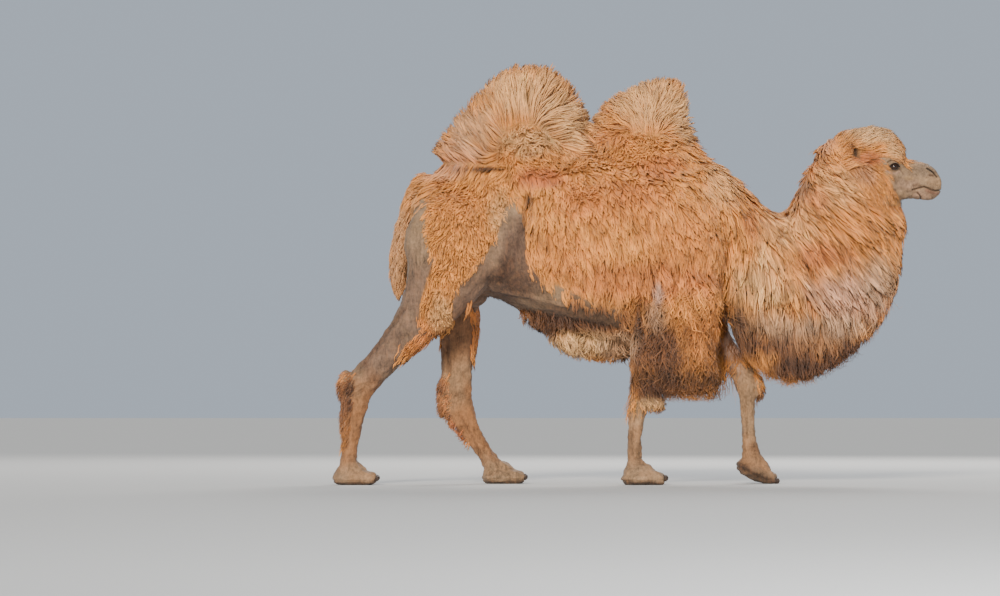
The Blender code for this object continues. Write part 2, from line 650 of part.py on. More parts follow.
def main():
    clear_scene()
    camel = collection("bactrian_camel")
    shop = collection("cutters_and_forms")
    face = head_forms(shop)
    legs = [limb(leg + "_form", rows, shop, side_of(leg)) for leg, rows in LEGS.items()]
    body = blended("body", [*body_forms(shop), *face, *legs], BODY, shop)
    coated = grown(body, shop, TRIM_GAP)

    for leg in LEGS:
        body = make_leg(leg, body, camel, shop)
    head_region = prism("head_region", REGIONS["head"], -REACH, REACH, shop)
    _, body = carve(body, head_region, "head_spare", shop, shop)
    for name in ("hump_rear", "hump_front", "neck_upper", "beard", "neck_lower"):
        region = prism(name + "_region", REGIONS[name], -REACH, REACH, shop)
        piece, body = carve(body, region, name, camel, shop)
        dressed(piece, "wool")
    keep(body, "trunk", "wool", camel)
    make_head(head_region, face, camel, shop)

    tail = blended("tail_block", [limb("tail_form", TAIL, shop)], TRIM, shop)
    dressed(cut(tail, "DIFFERENCE", coated, "tail", camel), "wool")
    udder = blended("udder_block", [ball("udder_form", *UDDER, shop)], TRIM, shop)
    dressed(cut(udder, "DIFFERENCE", coated, "udder", camel), "hide")

    for obj in camel.objects:
        largest_body(obj)
    for obj in shop.objects:
        obj.hide_render = True
        obj.display_type = "WIRE"


main()
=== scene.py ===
import math
import time

import bmesh
import bpy
import numpy as np
from mathutils import Matrix, Vector, kdtree
from mathutils.bvhtree import BVHTree
from mathutils.geometry import barycentric_transform


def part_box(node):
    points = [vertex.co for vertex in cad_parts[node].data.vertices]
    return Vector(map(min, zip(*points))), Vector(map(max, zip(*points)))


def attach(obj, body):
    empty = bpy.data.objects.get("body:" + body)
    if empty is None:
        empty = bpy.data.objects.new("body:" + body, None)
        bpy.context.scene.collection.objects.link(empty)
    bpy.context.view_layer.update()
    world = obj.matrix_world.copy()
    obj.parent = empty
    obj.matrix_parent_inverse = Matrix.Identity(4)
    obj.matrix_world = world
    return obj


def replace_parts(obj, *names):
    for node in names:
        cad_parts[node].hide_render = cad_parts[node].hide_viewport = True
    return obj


startTime = time.time()
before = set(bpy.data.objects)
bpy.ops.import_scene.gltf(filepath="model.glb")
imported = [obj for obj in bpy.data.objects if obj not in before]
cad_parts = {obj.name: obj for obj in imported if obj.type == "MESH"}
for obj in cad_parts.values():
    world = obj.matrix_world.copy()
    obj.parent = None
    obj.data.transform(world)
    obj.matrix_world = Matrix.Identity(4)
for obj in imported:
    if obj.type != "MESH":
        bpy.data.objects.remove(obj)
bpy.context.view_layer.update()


def say(stage):
    print(f"{time.time() - startTime:6.1f} s  {stage}")


# Colours, as a screen shows them. The coat and the skin under it share these.
palette = {
    "golden": (223, 147, 71), "amber": (214, 132, 64), "rust": (190, 108, 62), "cream": (232, 184, 126),
    "ash": (194, 156, 120), "blush": (198, 142, 104), "umber": (106, 70, 47), "bark": (62, 42, 31),
    "mauve": (140, 110, 90), "dusk": (84, 58, 46), "tan": (184, 144, 106), "clay": (176, 116, 70),
    "fawn": (180, 146, 112), "grey": (158, 132, 108), "lip": (176, 124, 98), "pink": (206, 160, 134),
    "pad": (78, 58, 46), "ink": (26, 18, 15),
}


def linear(rgb):  # screen colour to light
    share = np.array(rgb, float) / 255
    return np.where(share <= 0.04045, share / 12.92, ((share + 0.055) / 1.055) ** 2.4)


def tinted(colour, share, tone):  # this share of the way from a colour to one of the palette
    return colour + share[:, None] * (linear(palette[tone]) - colour)


# Small tools for meshes and places

def addObject(name, mesh):
    obj = bpy.data.objects.new(name, mesh)
    bpy.context.scene.collection.objects.link(obj)
    return obj


def addPiece(name, mesh, finish):  # a finished piece, which rides on the one body
    mesh.materials.clear()
    mesh.materials.append(finish)
    piece = addObject(name, mesh)
    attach(piece, "root")
    return piece


def meshOf(bm, name):
    mesh = bpy.data.meshes.new(name)
    bm.to_mesh(mesh)
    bm.free()
    return mesh


def threes(items, key):  # a property of three numbers, of every vertex or face
    flat = np.empty(len(items) * 3, np.float32)
    items.foreach_get(key, flat)
    return flat.reshape(-1, 3).astype(float)


def pointsOf(mesh):
    return threes(mesh.vertices, "co")


def normalsOf(mesh):
    return threes(mesh.vertices, "normal")


def placePoints(mesh, points):
    mesh.vertices.foreach_set("co", points.astype(np.float32).ravel())
    mesh.update()


def triangleCount(mesh):
    return len(mesh.loops) - 2 * len(mesh.polygons)


def writeValues(mesh, name, kind, key, values):  # one value to each point
    flat = values.astype(np.float32).ravel()
    mesh.attributes.new(name, kind, "POINT").data.foreach_set(key, flat)


def writeFloat(mesh, name, values):
    writeValues(mesh, name, "FLOAT", "value", values)


def writeColour(mesh, name, values):
    writeValues(mesh, name, "FLOAT_COLOR", "color", np.column_stack((values, np.ones(len(values)))))


def writeMap(mesh, name, places):
    mesh.uv_layers.new(name=name).data.foreach_set("uv", places.astype(np.float32).ravel())


def through(mesh, *steps, weights=None):  # the mesh as these modifiers leave it
    obj = addObject("making", mesh)
    if weights is not None:
        obj.vertex_groups.clear()
        group = obj.vertex_groups.new(name="weights")
        for level in range(1, 11):
            members = np.nonzero(np.round(weights * 10) == level)[0]
            group.add(members.tolist(), level / 10, "ADD")
    for kind, settings in steps:
        modifier = obj.modifiers.new(kind, kind)
        for key, value in settings.items():
            setattr(modifier, key, value)
    graph = bpy.context.evaluated_depsgraph_get()
    made = bpy.data.meshes.new_from_object(obj.evaluated_get(graph))
    bpy.data.objects.remove(obj)
    return made


def remeshed(size):
    return "REMESH", {"mode": "VOXEL", "voxel_size": size}


def smoothed(times, **settings):
    return "SMOOTH", {"factor": 0.5, "iterations": times, **settings}


def unit(vectors):
    return vectors / np.maximum(np.linalg.norm(vectors, axis=-1, keepdims=True), 1e-9)


def dot(a, b):
    return (a * b).sum(-1, keepdims=True)


def smoothStep(low, high, value):
    share = np.clip((value - low) / (high - low), 0, 1)
    return share * share * (3 - 2 * share)


def ripple(points, size, seed):  # smooth random numbers, about -1 to 1, that change over this size
    draw = np.random.default_rng(seed)
    waves = 7
    total = np.zeros(len(points))
    for _ in range(waves):
        way = unit(draw.normal(size=3)) * draw.uniform(0.6, 1.6)
        total += np.sin(points @ way * 2 * math.pi / size + draw.uniform(0, 6.28))
    return total / 2.6  # about the square root of the count of waves


def fromStretch(points, a, b):  # side-view distance from one stretch, and the share along it
    x, z = points[:, 0] - a[0], points[:, 2] - a[1]
    run, rise = b[0] - a[0], b[1] - a[1]
    share = np.clip((x * run + z * rise) / (run * run + rise * rise), 0, 1)
    return np.hypot(x - share * run, z - share * rise), share


def insideBy(points, outline):  # how far inside a side-view outline, under 0 outside it
    x, z = points[:, 0], points[:, 2]
    inside = np.zeros(len(x), bool)
    nearest = np.full(len(x), 9.0)
    for (ax, az), (bx, bz) in zip(outline, outline[1:] + outline[:1]):
        nearest = np.minimum(nearest, fromStretch(points, (ax, az), (bx, bz))[0])
        crossing = ax + (z - az) * (bx - ax) / ((bz - az) or 1e-9)
        inside ^= ((az > z) != (bz > z)) & (x < crossing)
    return np.where(inside, nearest, -nearest)


def fromLine(points, line):  # side-view distance from a line, and the share of the way along it
    nearest, along = np.full(len(points), 9.0), np.zeros(len(points))
    for i, ends in enumerate(zip(line, line[1:])):
        gap, share = fromStretch(points, *ends)
        along = np.where(gap < nearest, (i + share) / (len(line) - 1), along)
        nearest = np.minimum(nearest, gap)
    return nearest, along


# Where the wool grows, as side-view outlines, with the coat's depth over the skin there and how
# softly it begins. side is -1 or 1 where only one side of the animal is meant, limb is a leg that
# passes behind and stays bare, and narrow keeps the area this near to the middle.
woolAreas = {
    "neck": {"depth": 0.031, "soft": 0.05, "outline": [
        (0.36, 1.98), (0.36, 1.3), (0.42, 1.0), (0.84, 1.0), (1.45, 1.12), (1.345, 1.43), (1.305, 1.475),
        (1.268, 1.52), (1.244, 1.57), (1.234, 1.61), (1.215, 1.655), (1.1, 1.66), (0.985, 1.66),
        (0.985, 1.98)]},
    "beard": {"depth": 0.06, "soft": 0.12, "limb": [
        (0.36, 0.84), (0.43, 0.72), (0.505, 0.61), (0.56, 0.5), (0.565, 0.3)], "outline": [
        (0.42, 1.0), (0.84, 1.05), (1.45, 1.1), (1.5, 0.4), (0.4, 0.4)]},
    "rearHump": {"depth": 0.05, "soft": 0.06, "outline": [
        (-1.2, 1.6), (-0.98, 1.6), (-0.62, 1.59), (-0.36, 1.66), (-0.242, 1.76), (-0.242, 2.3),
        (-1.2, 2.3)]},
    "frontHump": {"depth": 0.044, "soft": 0.05, "outline": [
        (-0.242, 1.78), (-0.08, 1.7), (0.12, 1.67), (0.27, 1.72), (0.42, 1.78), (0.42, 2.3),
        (-0.242, 2.3)]},
    "trunk": {"depth": 0.027, "soft": 0.03, "outline": [
        (-1.16, 1.5), (-1.09, 1.43), (-0.74, 1.44), (-0.62, 1.44), (-0.585, 1.3), (-0.583, 1.12),
        (-0.5, 1.02), (-0.39, 0.985), (-0.27, 0.925), (-0.15, 0.885), (-0.04, 0.86), (0.05, 0.9),
        (0.5, 0.9), (0.5, 2.0), (-1.16, 2.0)]},
    "thigh": {"depth": 0.018, "soft": 0.015, "outline": [
        (-1.075, 1.48), (-1.092, 1.35), (-1.081, 1.21), (-1.048, 1.127), (-1.065, 1.08), (-1.085, 1.02),
        (-1.105, 0.96), (-1.13, 0.8), (-1.02, 0.74), (-0.955, 0.82), (-0.95, 0.96), (-0.9, 1.02),
        (-0.845, 1.09), (-0.784, 1.157), (-0.72, 1.27), (-0.695, 1.375), (-0.64, 1.46), (-0.7, 1.58),
        (-1.02, 1.6)]},
    "rightFringe": {"depth": 0.038, "soft": 0.04, "side": -1, "outline": [
        (-0.1, 1.02), (-0.1, 0.44), (0.46, 0.44), (0.47, 1.1), (0.2, 1.14)]},
    "leftFringe": {"depth": 0.04, "soft": 0.04, "side": 1, "outline": [
        (-0.03, 1.02), (-0.03, 0.46), (0.36, 0.46), (0.46, 0.56), (0.43, 0.7), (0.45, 0.8), (0.52, 0.88),
        (0.52, 1.1), (0.27, 1.14)]},
    "crown": {"depth": 0.02, "soft": 0.03, "outline": [
        (0.9, 1.72), (0.985, 1.62), (1.07, 1.6), (1.13, 1.655), (1.2, 1.665), (1.26, 1.66),
        (1.315, 1.655), (1.352, 1.66), (1.4, 1.75), (1.3, 1.95), (0.9, 1.95)]},
    "tail": {"depth": 0.016, "soft": 0.02, "narrow": 0.075, "outline": [
        (-1.12, 1.66), (-1.1, 1.46), (-1.13, 1.3), (-1.14, 0.9), (-1.35, 0.9), (-1.35, 1.4),
        (-1.2, 1.66)]},
    "belly": {"depth": 0.02, "soft": 0.04, "outline": [
        (-0.62, 0.9), (-0.45, 0.86), (-0.1, 0.8), (0.1, 0.8), (0.1, 0.5), (-0.62, 0.5)]},
}
limbBare = {"from": 0.10, "inner": 0.075, "outer": 0.10}  # metres from the middle and the limb's line


def woolCover(points, area):  # 0 on bare skin to 1 well inside the area
    cover = smoothStep(-0.3 * area["soft"], area["soft"], insideBy(points, area["outline"]))
    if "limb" in area:
        gap, _ = fromLine(points, area["limb"])
        clear = smoothStep(limbBare["inner"], limbBare["outer"], gap)
        cover = cover * np.where(points[:, 1] > limbBare["from"], clear, 1.0)
    if "narrow" in area:
        cover = cover * (np.abs(points[:, 1]) < area["narrow"])
    if "side" in area:
        cover = cover * (points[:, 1] * area["side"] > 0)
    return cover


def coatDepth(points):
    return np.max([area["depth"] * woolCover(points, area) for area in woolAreas.values()], axis=0)


# Markings and some painted shade, laid over each other in this order: a soft side-view spot, its half
# length, half height, colour and strength. The first list is for skin and short hair, the second for wool.
skinMarksAndShade = [
    # the dusk spot at x -0.7 is painted shade in the groin
    (-0.62, 1.12, 0.22, 0.3, "mauve", 1.0), (-0.7, 1.0, 0.12, 0.12, "dusk", 0.8),
    (-0.86, 0.93, 0.12, 0.07, "pink", 0.8), (-1.02, 0.9, 0.42, 0.34, "mauve", 0.95),
    (-1.3, 0.66, 0.22, 0.22, "mauve", 0.95), (-0.92, 0.62, 0.2, 0.34, "clay", 0.55),
    # the narrow umber stripe at x -0.84 is painted shade down the far hind leg's front edge
    (-0.84, 0.6, 0.05, 0.26, "umber", 0.6), (-0.93, 0.5, 0.16, 0.16, "tan", 0.7),
    # both dusk spots here are painted shade: in the flank hollow before the thigh, and on the belly skin
    # under the coat's overhanging edge
    (-0.62, 1.1, 0.16, 0.24, "dusk", 0.4), (-0.3, 0.84, 0.4, 0.14, "dusk", 0.8),
    (0.3, 0.42, 0.6, 0.48, "tan", 1.0), (0.45, 0.7, 0.14, 0.17, "pink", 1.0),
    (-1.45, 0.3, 0.26, 0.3, "clay", 0.85), (-0.85, 0.28, 0.3, 0.24, "clay", 0.85),
    (-0.02, 0.2, 0.2, 0.16, "clay", 0.35), (0.6, 0.14, 0.2, 0.12, "clay", 0.5),
    (-1.36, 0.07, 0.2, 0.06, "tan", 0.6), (-0.65, 0.07, 0.2, 0.06, "tan", 0.6),
    (-0.45, 0.0, 2.4, 0.026, "pad", 0.9), (1.46, 1.6, 0.09, 0.05, "grey", 0.8),
    (1.5, 1.54, 0.07, 0.05, "tan", 0.45), (1.36, 1.53, 0.08, 0.05, "pink", 0.35),
    (1.44, 1.47, 0.07, 0.03, "pink", 0.45), (1.365, 1.557, 0.035, 0.016, "cream", 0.55),
    (1.33, 1.655, 0.06, 0.03, "golden", 0.6), (1.25, 1.56, 0.05, 0.06, "golden", 0.5),
    (1.4, 1.645, 0.1, 0.014, "pink", 0.4),
]
woolTones = [
    (-0.51, 1.54, 0.17, 0.07, "rust", 0.85), (-0.3, 1.42, 0.16, 0.12, "rust", 0.4),
    (-0.04, 1.46, 0.15, 0.09, "rust", 0.55), (0.1, 1.59, 0.14, 0.1, "rust", 0.6),
    (-0.1, 1.42, 0.34, 0.18, "amber", 0.6), (-0.4, 1.15, 0.2, 0.16, "amber", 0.5),
    (0.22, 1.18, 0.22, 0.26, "amber", 0.6), (-0.9, 1.34, 0.16, 0.16, "amber", 0.15),
    (-0.72, 1.36, 0.07, 0.14, "cream", 0.5), (-0.92, 1.68, 0.16, 0.1, "blush", 0.7),
    (-1.0, 1.58, 0.14, 0.06, "blush", 0.7), (-0.86, 1.8, 0.14, 0.14, "ash", 0.55),
    (-0.58, 1.98, 0.26, 0.16, "cream", 0.6), (-0.36, 1.84, 0.16, 0.2, "cream", 0.65),
    (-0.58, 1.73, 0.18, 0.1, "cream", 0.6), (0.06, 1.95, 0.26, 0.18, "cream", 0.6),
    (0.26, 1.84, 0.12, 0.12, "cream", 0.5), (-0.14, 1.76, 0.12, 0.07, "rust", 0.3),
    (-0.8, 1.59, 0.15, 0.02, "bark", 0.95), (-0.72, 1.7, 0.02, 0.1, "umber", 0.4),
    # the two narrow bark stripes at x -0.565 and -0.592 are painted shadow of the step at the coat's rear
    # edge
    (-0.547, 1.668, 0.045, 0.012, "umber", 0.6), (-0.565, 1.43, 0.03, 0.04, "bark", 0.7),
    (-0.592, 1.32, 0.012, 0.08, "bark", 0.7), (0.42, 1.52, 0.12, 0.16, "cream", 0.4),
    (0.9, 1.36, 0.5, 0.36, "rust", 0.18), (0.64, 1.02, 0.24, 0.16, "cream", 0.7),
    (0.8, 1.05, 0.2, 0.12, "amber", 0.5), (0.75, 1.3, 0.2, 0.16, "cream", 0.35),
    (1.0, 1.5, 0.16, 0.14, "cream", 0.4), (0.93, 1.15, 0.18, 0.09, "rust", 0.6),
    (0.68, 0.8, 0.26, 0.09, "ash", 0.8), (1.06, 0.93, 0.26, 0.2, "pink", 0.75),
    (1.02, 0.8, 0.24, 0.08, "ash", 0.8), (1.22, 1.02, 0.14, 0.16, "ash", 0.7),
    (0.86, 0.71, 0.36, 0.11, "mauve", 0.55), (0.62, 0.886, 0.12, 0.012, "umber", 0.6),
    (0.49, 0.8, 0.06, 0.17, "bark", 0.8), (0.56, 0.78, 0.09, 0.1, "umber", 0.6),
    (0.58, 0.69, 0.2, 0.08, "umber", 0.9), (0.88, 0.61, 0.3, 0.07, "umber", 0.9),
    (0.78, 0.68, 0.26, 0.07, "umber", 0.5), (0.74, 0.59, 0.26, 0.055, "bark", 0.8),
    (1.12, 0.69, 0.12, 0.055, "umber", 0.8), (0.0, 1.02, 0.5, 0.12, "rust", 0.55),
    (0.32, 0.72, 0.14, 0.2, "amber", 0.5), (0.06, 0.66, 0.26, 0.18, "umber", 0.95),
    (0.06, 0.84, 0.07, 0.09, "grey", 0.7), (0.075, 0.945, 0.032, 0.075, "pink", 0.95),
    (-0.02, 0.8, 0.03, 0.14, "bark", 0.9), (0.12, 0.53, 0.34, 0.06, "bark", 0.75),
    (0.15, 0.48, 0.36, 0.05, "umber", 0.7), (0.82, 0.56, 0.42, 0.055, "umber", 0.85),
    (1.12, 0.65, 0.18, 0.07, "umber", 0.65), (0.36, 0.6, 0.1, 0.16, "bark", 0.5),
    (1.17, 1.65, 0.1, 0.045, "rust", 0.75), (1.14, 1.57, 0.1, 0.06, "blush", 0.6),
    (1.2, 1.79, 0.18, 0.08, "cream", 0.8), (1.3, 1.7, 0.07, 0.05, "cream", 0.6),
    # the mauve spot at x 0.82 is painted shade on the far side of the mane behind the nape
    (0.93, 1.73, 0.08, 0.08, "blush", 0.6), (0.82, 1.5, 0.045, 0.08, "mauve", 0.6),
    (0.9, 1.44, 0.07, 0.07, "rust", 0.45), (0.55, 1.31, 0.05, 0.1, "rust", 0.45),
    (-1.49, 0.46, 0.1, 0.2, "clay", 1.0), (-1.47, 0.47, 0.045, 0.11, "bark", 0.85),
    (-1.51, 0.42, 0.05, 0.12, "umber", 0.6), (-1.5, 0.3, 0.08, 0.12, "umber", 0.6),
    (-1.01, 0.44, 0.1, 0.16, "clay", 1.0), (-1.02, 0.5, 0.04, 0.06, "umber", 0.7),
    (-0.92, 0.28, 0.08, 0.1, "rust", 0.8), (0.06, 0.45, 0.1, 0.07, "umber", 0.95),
    (0.07, 0.4, 0.1, 0.035, "cream", 0.8), (0.61, 0.52, 0.1, 0.16, "golden", 0.9),
    (0.62, 0.44, 0.05, 0.05, "umber", 0.5), (-1.14, 0.74, 0.14, 0.12, "amber", 0.9),
    (-1.0, 0.86, 0.09, 0.12, "cream", 0.5), (-0.83, 0.8, 0.07, 0.16, "amber", 0.9),
    # the umber band across the top of the belly is painted shade under the coat's overhanging edge, over the
    # belly hair's own brown
    (-1.2, 1.2, 0.1, 0.36, "ash", 0.6), (-0.35, 0.82, 0.45, 0.11, "umber", 0.9),
    (-0.3, 0.7, 0.24, 0.09, "cream", 0.95), (-0.12, 0.7, 0.12, 0.1, "ash", 0.7),
    (-0.48, 0.76, 0.08, 0.06, "bark", 0.7),
]


def spotted(points, base, spots):
    colour = linear(palette[base]) * np.ones((len(points), 1))
    ragged = 0.12 * ripple(points, 0.12, 5)
    for x, z, wide, high, tone, strength in spots:
        reach = np.hypot((points[:, 0] - x) / wide, (points[:, 2] - z) / high)
        colour = tinted(colour, strength * (1 - smoothStep(0.35, 1.15, reach + ragged)), tone)
    return colour


def woolColour(points):
    mottled = 1 + 0.10 * ripple(points, 0.16, 8) + 0.08 * ripple(points * (1, 1, 0.35), 0.035, 9)
    return spotted(points, "golden", woolTones) * np.clip(mottled, 0.75, 1.25)[:, None]


def skinColour(points):
    colour = spotted(points, "fawn", skinMarksAndShade)
    # along the folds: the darker tones in the grooves are painted shade
    for name, (line, wide, _, tone, strength) in folds.items():
        share = strength * foldAmount(points, line, 1.15 * wide) * ownSide(points, name)
        colour = tinted(colour, share, tone)
    # painted shade along the creases across the leg joints
    for line, side in creaseLines():
        share = creaseLook["dark"] * foldAmount(points, line, creaseLook["shadow"])
        colour = tinted(colour, share * (points[:, 1] * side > 0), "dusk")
    for side in eyeNodes:
        room, offset, out = openingRoom(points, side)
        near = (out > 0) * (np.linalg.norm(offset, axis=1) < eyePlace(side)[1] + 0.012)
        colour = tinted(colour, 0.95 * near * smoothStep(-0.0062, -0.0036, room), "ink")
    return colour


# The outside of the coat, as one closed surface, to root and steer the wool by

fleshNodes = sorted(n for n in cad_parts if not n.startswith(("eye", "nail")))
eyeNodes = {1: "eye_left", -1: "eye_right"}
outer = {
    "swell": 0.0015,  # closes the thin gaps between the solids
    "voxel": 0.007,
    "smooth": 12,
    "spacing": 0.0067,  # between the points that it comes out with
}


def eyePlace(side):
    low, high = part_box(eyeNodes[side])
    return np.array((low + high) / 2), (high.z - low.z) / 2


def joinedFlesh(extra=()):
    bm = bmesh.new()
    for name in fleshNodes:
        bm.from_mesh(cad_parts[name].data)
    bmesh.ops.remove_doubles(bm, verts=bm.verts, dist=1e-5)
    bm.normal_update()
    for v in bm.verts:
        v.co += v.normal * outer["swell"]
    for centre, radius in extra:
        bmesh.ops.create_icosphere(bm, subdivisions=4, radius=radius, matrix=Matrix.Translation(centre))
    return meshOf(bm, "flesh")


outerMesh = through(joinedFlesh(), remeshed(outer["voxel"]), smoothed(outer["smooth"]))
outside = addObject("coatOutside", outerMesh)
outPoints = pointsOf(outerMesh)
outTree = BVHTree.FromObject(outside, bpy.context.evaluated_depsgraph_get())
faceNormals = threes(outerMesh.polygons, "normal")
say(f"coat outline {len(outPoints)} points")


def onOutside(points):  # the nearest places on the coat's outside, and which way it faces there
    found = [outTree.find_nearest(p) for p in points.tolist()]
    return np.array([f[0] for f in found]), faceNormals[[f[2] for f in found]]


def nodeAtPoints(points):  # the CAD piece under each point
    bm = bmesh.new()
    owners = []
    for i, name in enumerate(fleshNodes):
        before = len(bm.faces)
        bm.from_mesh(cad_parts[name].data)
        owners += [i] * (len(bm.faces) - before)
    tree = BVHTree.FromBMesh(bm)
    bm.free()
    return np.array([owners[tree.find_nearest(p)[2]] for p in points.tolist()])


# The skin: one surface, the coat's depth inside the solids, sculpted on the face and feet

skin = {
    "voxel": 0.0045,
    "clear": 0.0012,  # how far bare skin lies inside the solids
    "floor": 0.0006,  # the lowest that it may come
    "share": 0.085,  # of the faces, after thinning
    "smooth": 18,
    "crisp": 0.72,  # how much less the head is smoothed
    "steady": 40,  # smoothing of the surface that gives the way inward
    "faceEdge": 0.0032,  # the longest edges of the face, by the lips and by the eyes
    "lipEdge": 0.0022,
    "eyeEdge": 0.0014,
    "lid": 0.0042,  # how thick the lids are over the eye
    "opening": (0.0222, 0.0140),  # half the length and half the height between the lids
    "gaze": (0.24, 0.97, 0.03),  # the way the left eye looks
}

# Folds, creases and ridges, as side-view lines on both sides: the line, how wide it is, how high
# it stands over the skin (a groove under 0), and the tone and strength of its colour; in the grooves that
# tone is darker, as painted shade
folds = {
    "earCup": ([(1.093, 1.664), (1.092, 1.685), (1.087, 1.71)], 0.016, -0.011, "bark", 0.95),
    "mouth": ([
        (1.385, 1.497), (1.42, 1.508), (1.446, 1.514), (1.481, 1.5), (1.505, 1.493), (1.53, 1.498),
        (1.57, 1.503)], 0.0034, -0.0085, "bark", 0.95),
    "upperLip": ([
        (1.425, 1.52), (1.448, 1.526), (1.482, 1.513), (1.506, 1.507), (1.55, 1.512)],
        0.0065, 0.0028, "grey", 0.3),
    "lowerLip": ([(1.455, 1.498), (1.481, 1.487), (1.505, 1.48), (1.54, 1.484)], 0.006, 0.0026, "lip", 0.9),
    "mouthCorner": ([(1.395, 1.518), (1.41, 1.521), (1.424, 1.516)], 0.008, -0.0036, "dusk", 0.45),
    "nostril": ([
        (1.46, 1.608), (1.474, 1.6), (1.489, 1.59), (1.502, 1.578), (1.511, 1.567)],
        0.0036, -0.013, "ink", 1.0),
    "nostrilRim": ([
        (1.452, 1.602), (1.47, 1.59), (1.486, 1.579), (1.5, 1.566)], 0.0046, 0.0036, "fawn", 0.5),
    "nostrilRoof": ([
        (1.462, 1.62), (1.482, 1.611), (1.5, 1.599), (1.516, 1.58)], 0.005, 0.0036, "grey", 0.4),
    "nostrilEnd": ([(1.476, 1.574), (1.486, 1.572), (1.493, 1.569)], 0.0042, -0.0042, "dusk", 0.8),
    "wrinkleOne": ([(1.437, 1.606), (1.447, 1.588), (1.449, 1.566)], 0.003, -0.0018, "grey", 0.4),
    "wrinkleTwo": ([(1.421, 1.6), (1.431, 1.582), (1.433, 1.56)], 0.003, -0.0015, "grey", 0.4),
    "wrinkleThree": ([(1.47, 1.56), (1.478, 1.546), (1.48, 1.53)], 0.003, -0.0015, "grey", 0.3),
    "chinCrease": ([
        (1.412, 1.484), (1.423, 1.473), (1.431, 1.462), (1.431, 1.446)], 0.0034, -0.0075, "bark", 0.95),
    "chin": ([(1.447, 1.474), (1.45, 1.456)], 0.01, 0.004, "fawn", 0.2),
    "jawFold": ([(1.325, 1.502), (1.355, 1.489), (1.392, 1.482)], 0.0045, -0.0024, "grey", 0.4),
    "cheekBone": ([
        (1.235, 1.582), (1.285, 1.572), (1.33, 1.569), (1.372, 1.564)], 0.011, 0.0046, "fawn", 0.2),
    "cheekHollow": ([(1.28, 1.548), (1.33, 1.543), (1.385, 1.545)], 0.013, -0.004, "grey", 0.3),
    "noseHollow": ([(1.345, 1.616), (1.4, 1.606), (1.43, 1.601)], 0.013, -0.0048, "grey", 0.35),
    "lidCrease": ([
        (1.252, 1.634), (1.268, 1.643), (1.29, 1.644), (1.314, 1.633)], 0.0024, -0.003, "dusk", 0.7),
    "lidFold": ([(1.25, 1.642), (1.268, 1.651), (1.293, 1.652), (1.32, 1.64)], 0.003, 0.0018, "fawn", 0.1),
    "brow": ([(1.245, 1.656), (1.285, 1.668), (1.325, 1.655)], 0.008, 0.005, "golden", 0.4),
    "underLid": ([
        (1.252, 1.596), (1.27, 1.587), (1.292, 1.586), (1.311, 1.596)], 0.0022, -0.0022, "grey", 0.6),
    "underEye": ([(1.248, 1.592), (1.27, 1.579), (1.298, 1.578), (1.318, 1.59)], 0.0046, 0.002, "pink", 0.7),
    "tearLine": ([(1.314, 1.607), (1.326, 1.594), (1.338, 1.577)], 0.003, -0.0026, "dusk", 0.5),
    "milkVein": ([
        (-0.748, 0.984), (-0.62, 0.958), (-0.48, 0.925), (-0.34, 0.887)], 0.009, 0.007, "mauve", 0.2),
    "groinFold": ([(-0.66, 1.2), (-0.7, 1.1), (-0.765, 1.03)], 0.016, -0.01, "dusk", 0.5),
    "flankFold": ([(-0.6, 1.3), (-0.64, 1.15), (-0.72, 1.02)], 0.012, -0.006, "dusk", 0.4),
    "flankRidge": ([(-0.635, 1.33), (-0.672, 1.16), (-0.745, 1.05)], 0.014, 0.008, "mauve", 0.2),
    "hindTendonRight": ([(-1.2, 0.88), (-1.34, 0.69), (-1.44, 0.56)], 0.01, -0.009, "dusk", 0.5),
    "gaskinRight": ([(-1.1, 0.8), (-1.2, 0.69), (-1.3, 0.58)], 0.02, 0.006, "mauve", 0.1),
    "hockRight": ([(-1.435, 0.5), (-1.43, 0.46)], 0.018, 0.007, "tan", 0.2),
    "cannonRight": ([(-1.462, 0.38), (-1.478, 0.28), (-1.49, 0.19)], 0.0055, -0.005, "dusk", 0.35),
    "hindTendonLeft": ([(-0.985, 0.9), (-0.985, 0.72), (-0.975, 0.56)], 0.01, -0.009, "dusk", 0.5),
    "hockLeft": ([(-0.925, 0.49), (-0.915, 0.44)], 0.018, 0.007, "tan", 0.2),
    "cannonLeft": ([(-0.925, 0.36), (-0.868, 0.26), (-0.815, 0.16)], 0.0055, -0.005, "dusk", 0.35),
    "kneeRight": ([(0.01, 0.475), (0.012, 0.435)], 0.02, 0.006, "tan", 0.2),
    "foreCannonRight": ([(-0.03, 0.36), (-0.048, 0.26), (-0.049, 0.15)], 0.005, -0.0045, "dusk", 0.3),
    "kneeLeft": ([(0.545, 0.575), (0.552, 0.53)], 0.02, 0.006, "tan", 0.2),
    "foreCannonLeft": ([(0.545, 0.44), (0.549, 0.34), (0.555, 0.24)], 0.005, -0.0045, "dusk", 0.3),
    "liftedSoleLeft": ([(0.497, 0.1), (0.6, 0.042), (0.7, 0.002)], 0.024, 0.0, "pad", 0.95),
}
legFolds = {"Right": -1, "Left": 1}  # the side that a fold's last word keeps it to
wrapping = ("mouth", "upperLip", "lowerLip", "chinCrease")  # folds that go round the front
headFrom = 1.2  # folds that start ahead of this are on the head

# Short creases across the joints of the legs: x, z, half length, turn in degrees, how many, apart, side
creases = [
    (-1.435, 0.475, 0.034, 30, 4, 0.012, -1), (-1.45, 0.135, 0.03, 6, 4, 0.01, -1),
    (-0.905, 0.455, 0.034, 20, 4, 0.012, 1), (-0.745, 0.128, 0.03, -28, 4, 0.01, 1),
    (0.035, 0.47, 0.03, -8, 5, 0.011, -1), (-0.012, 0.118, 0.03, -4, 4, 0.01, -1),
    (0.575, 0.55, 0.03, -30, 5, 0.011, 1), (0.592, 0.185, 0.03, -6, 4, 0.01, 1),
]
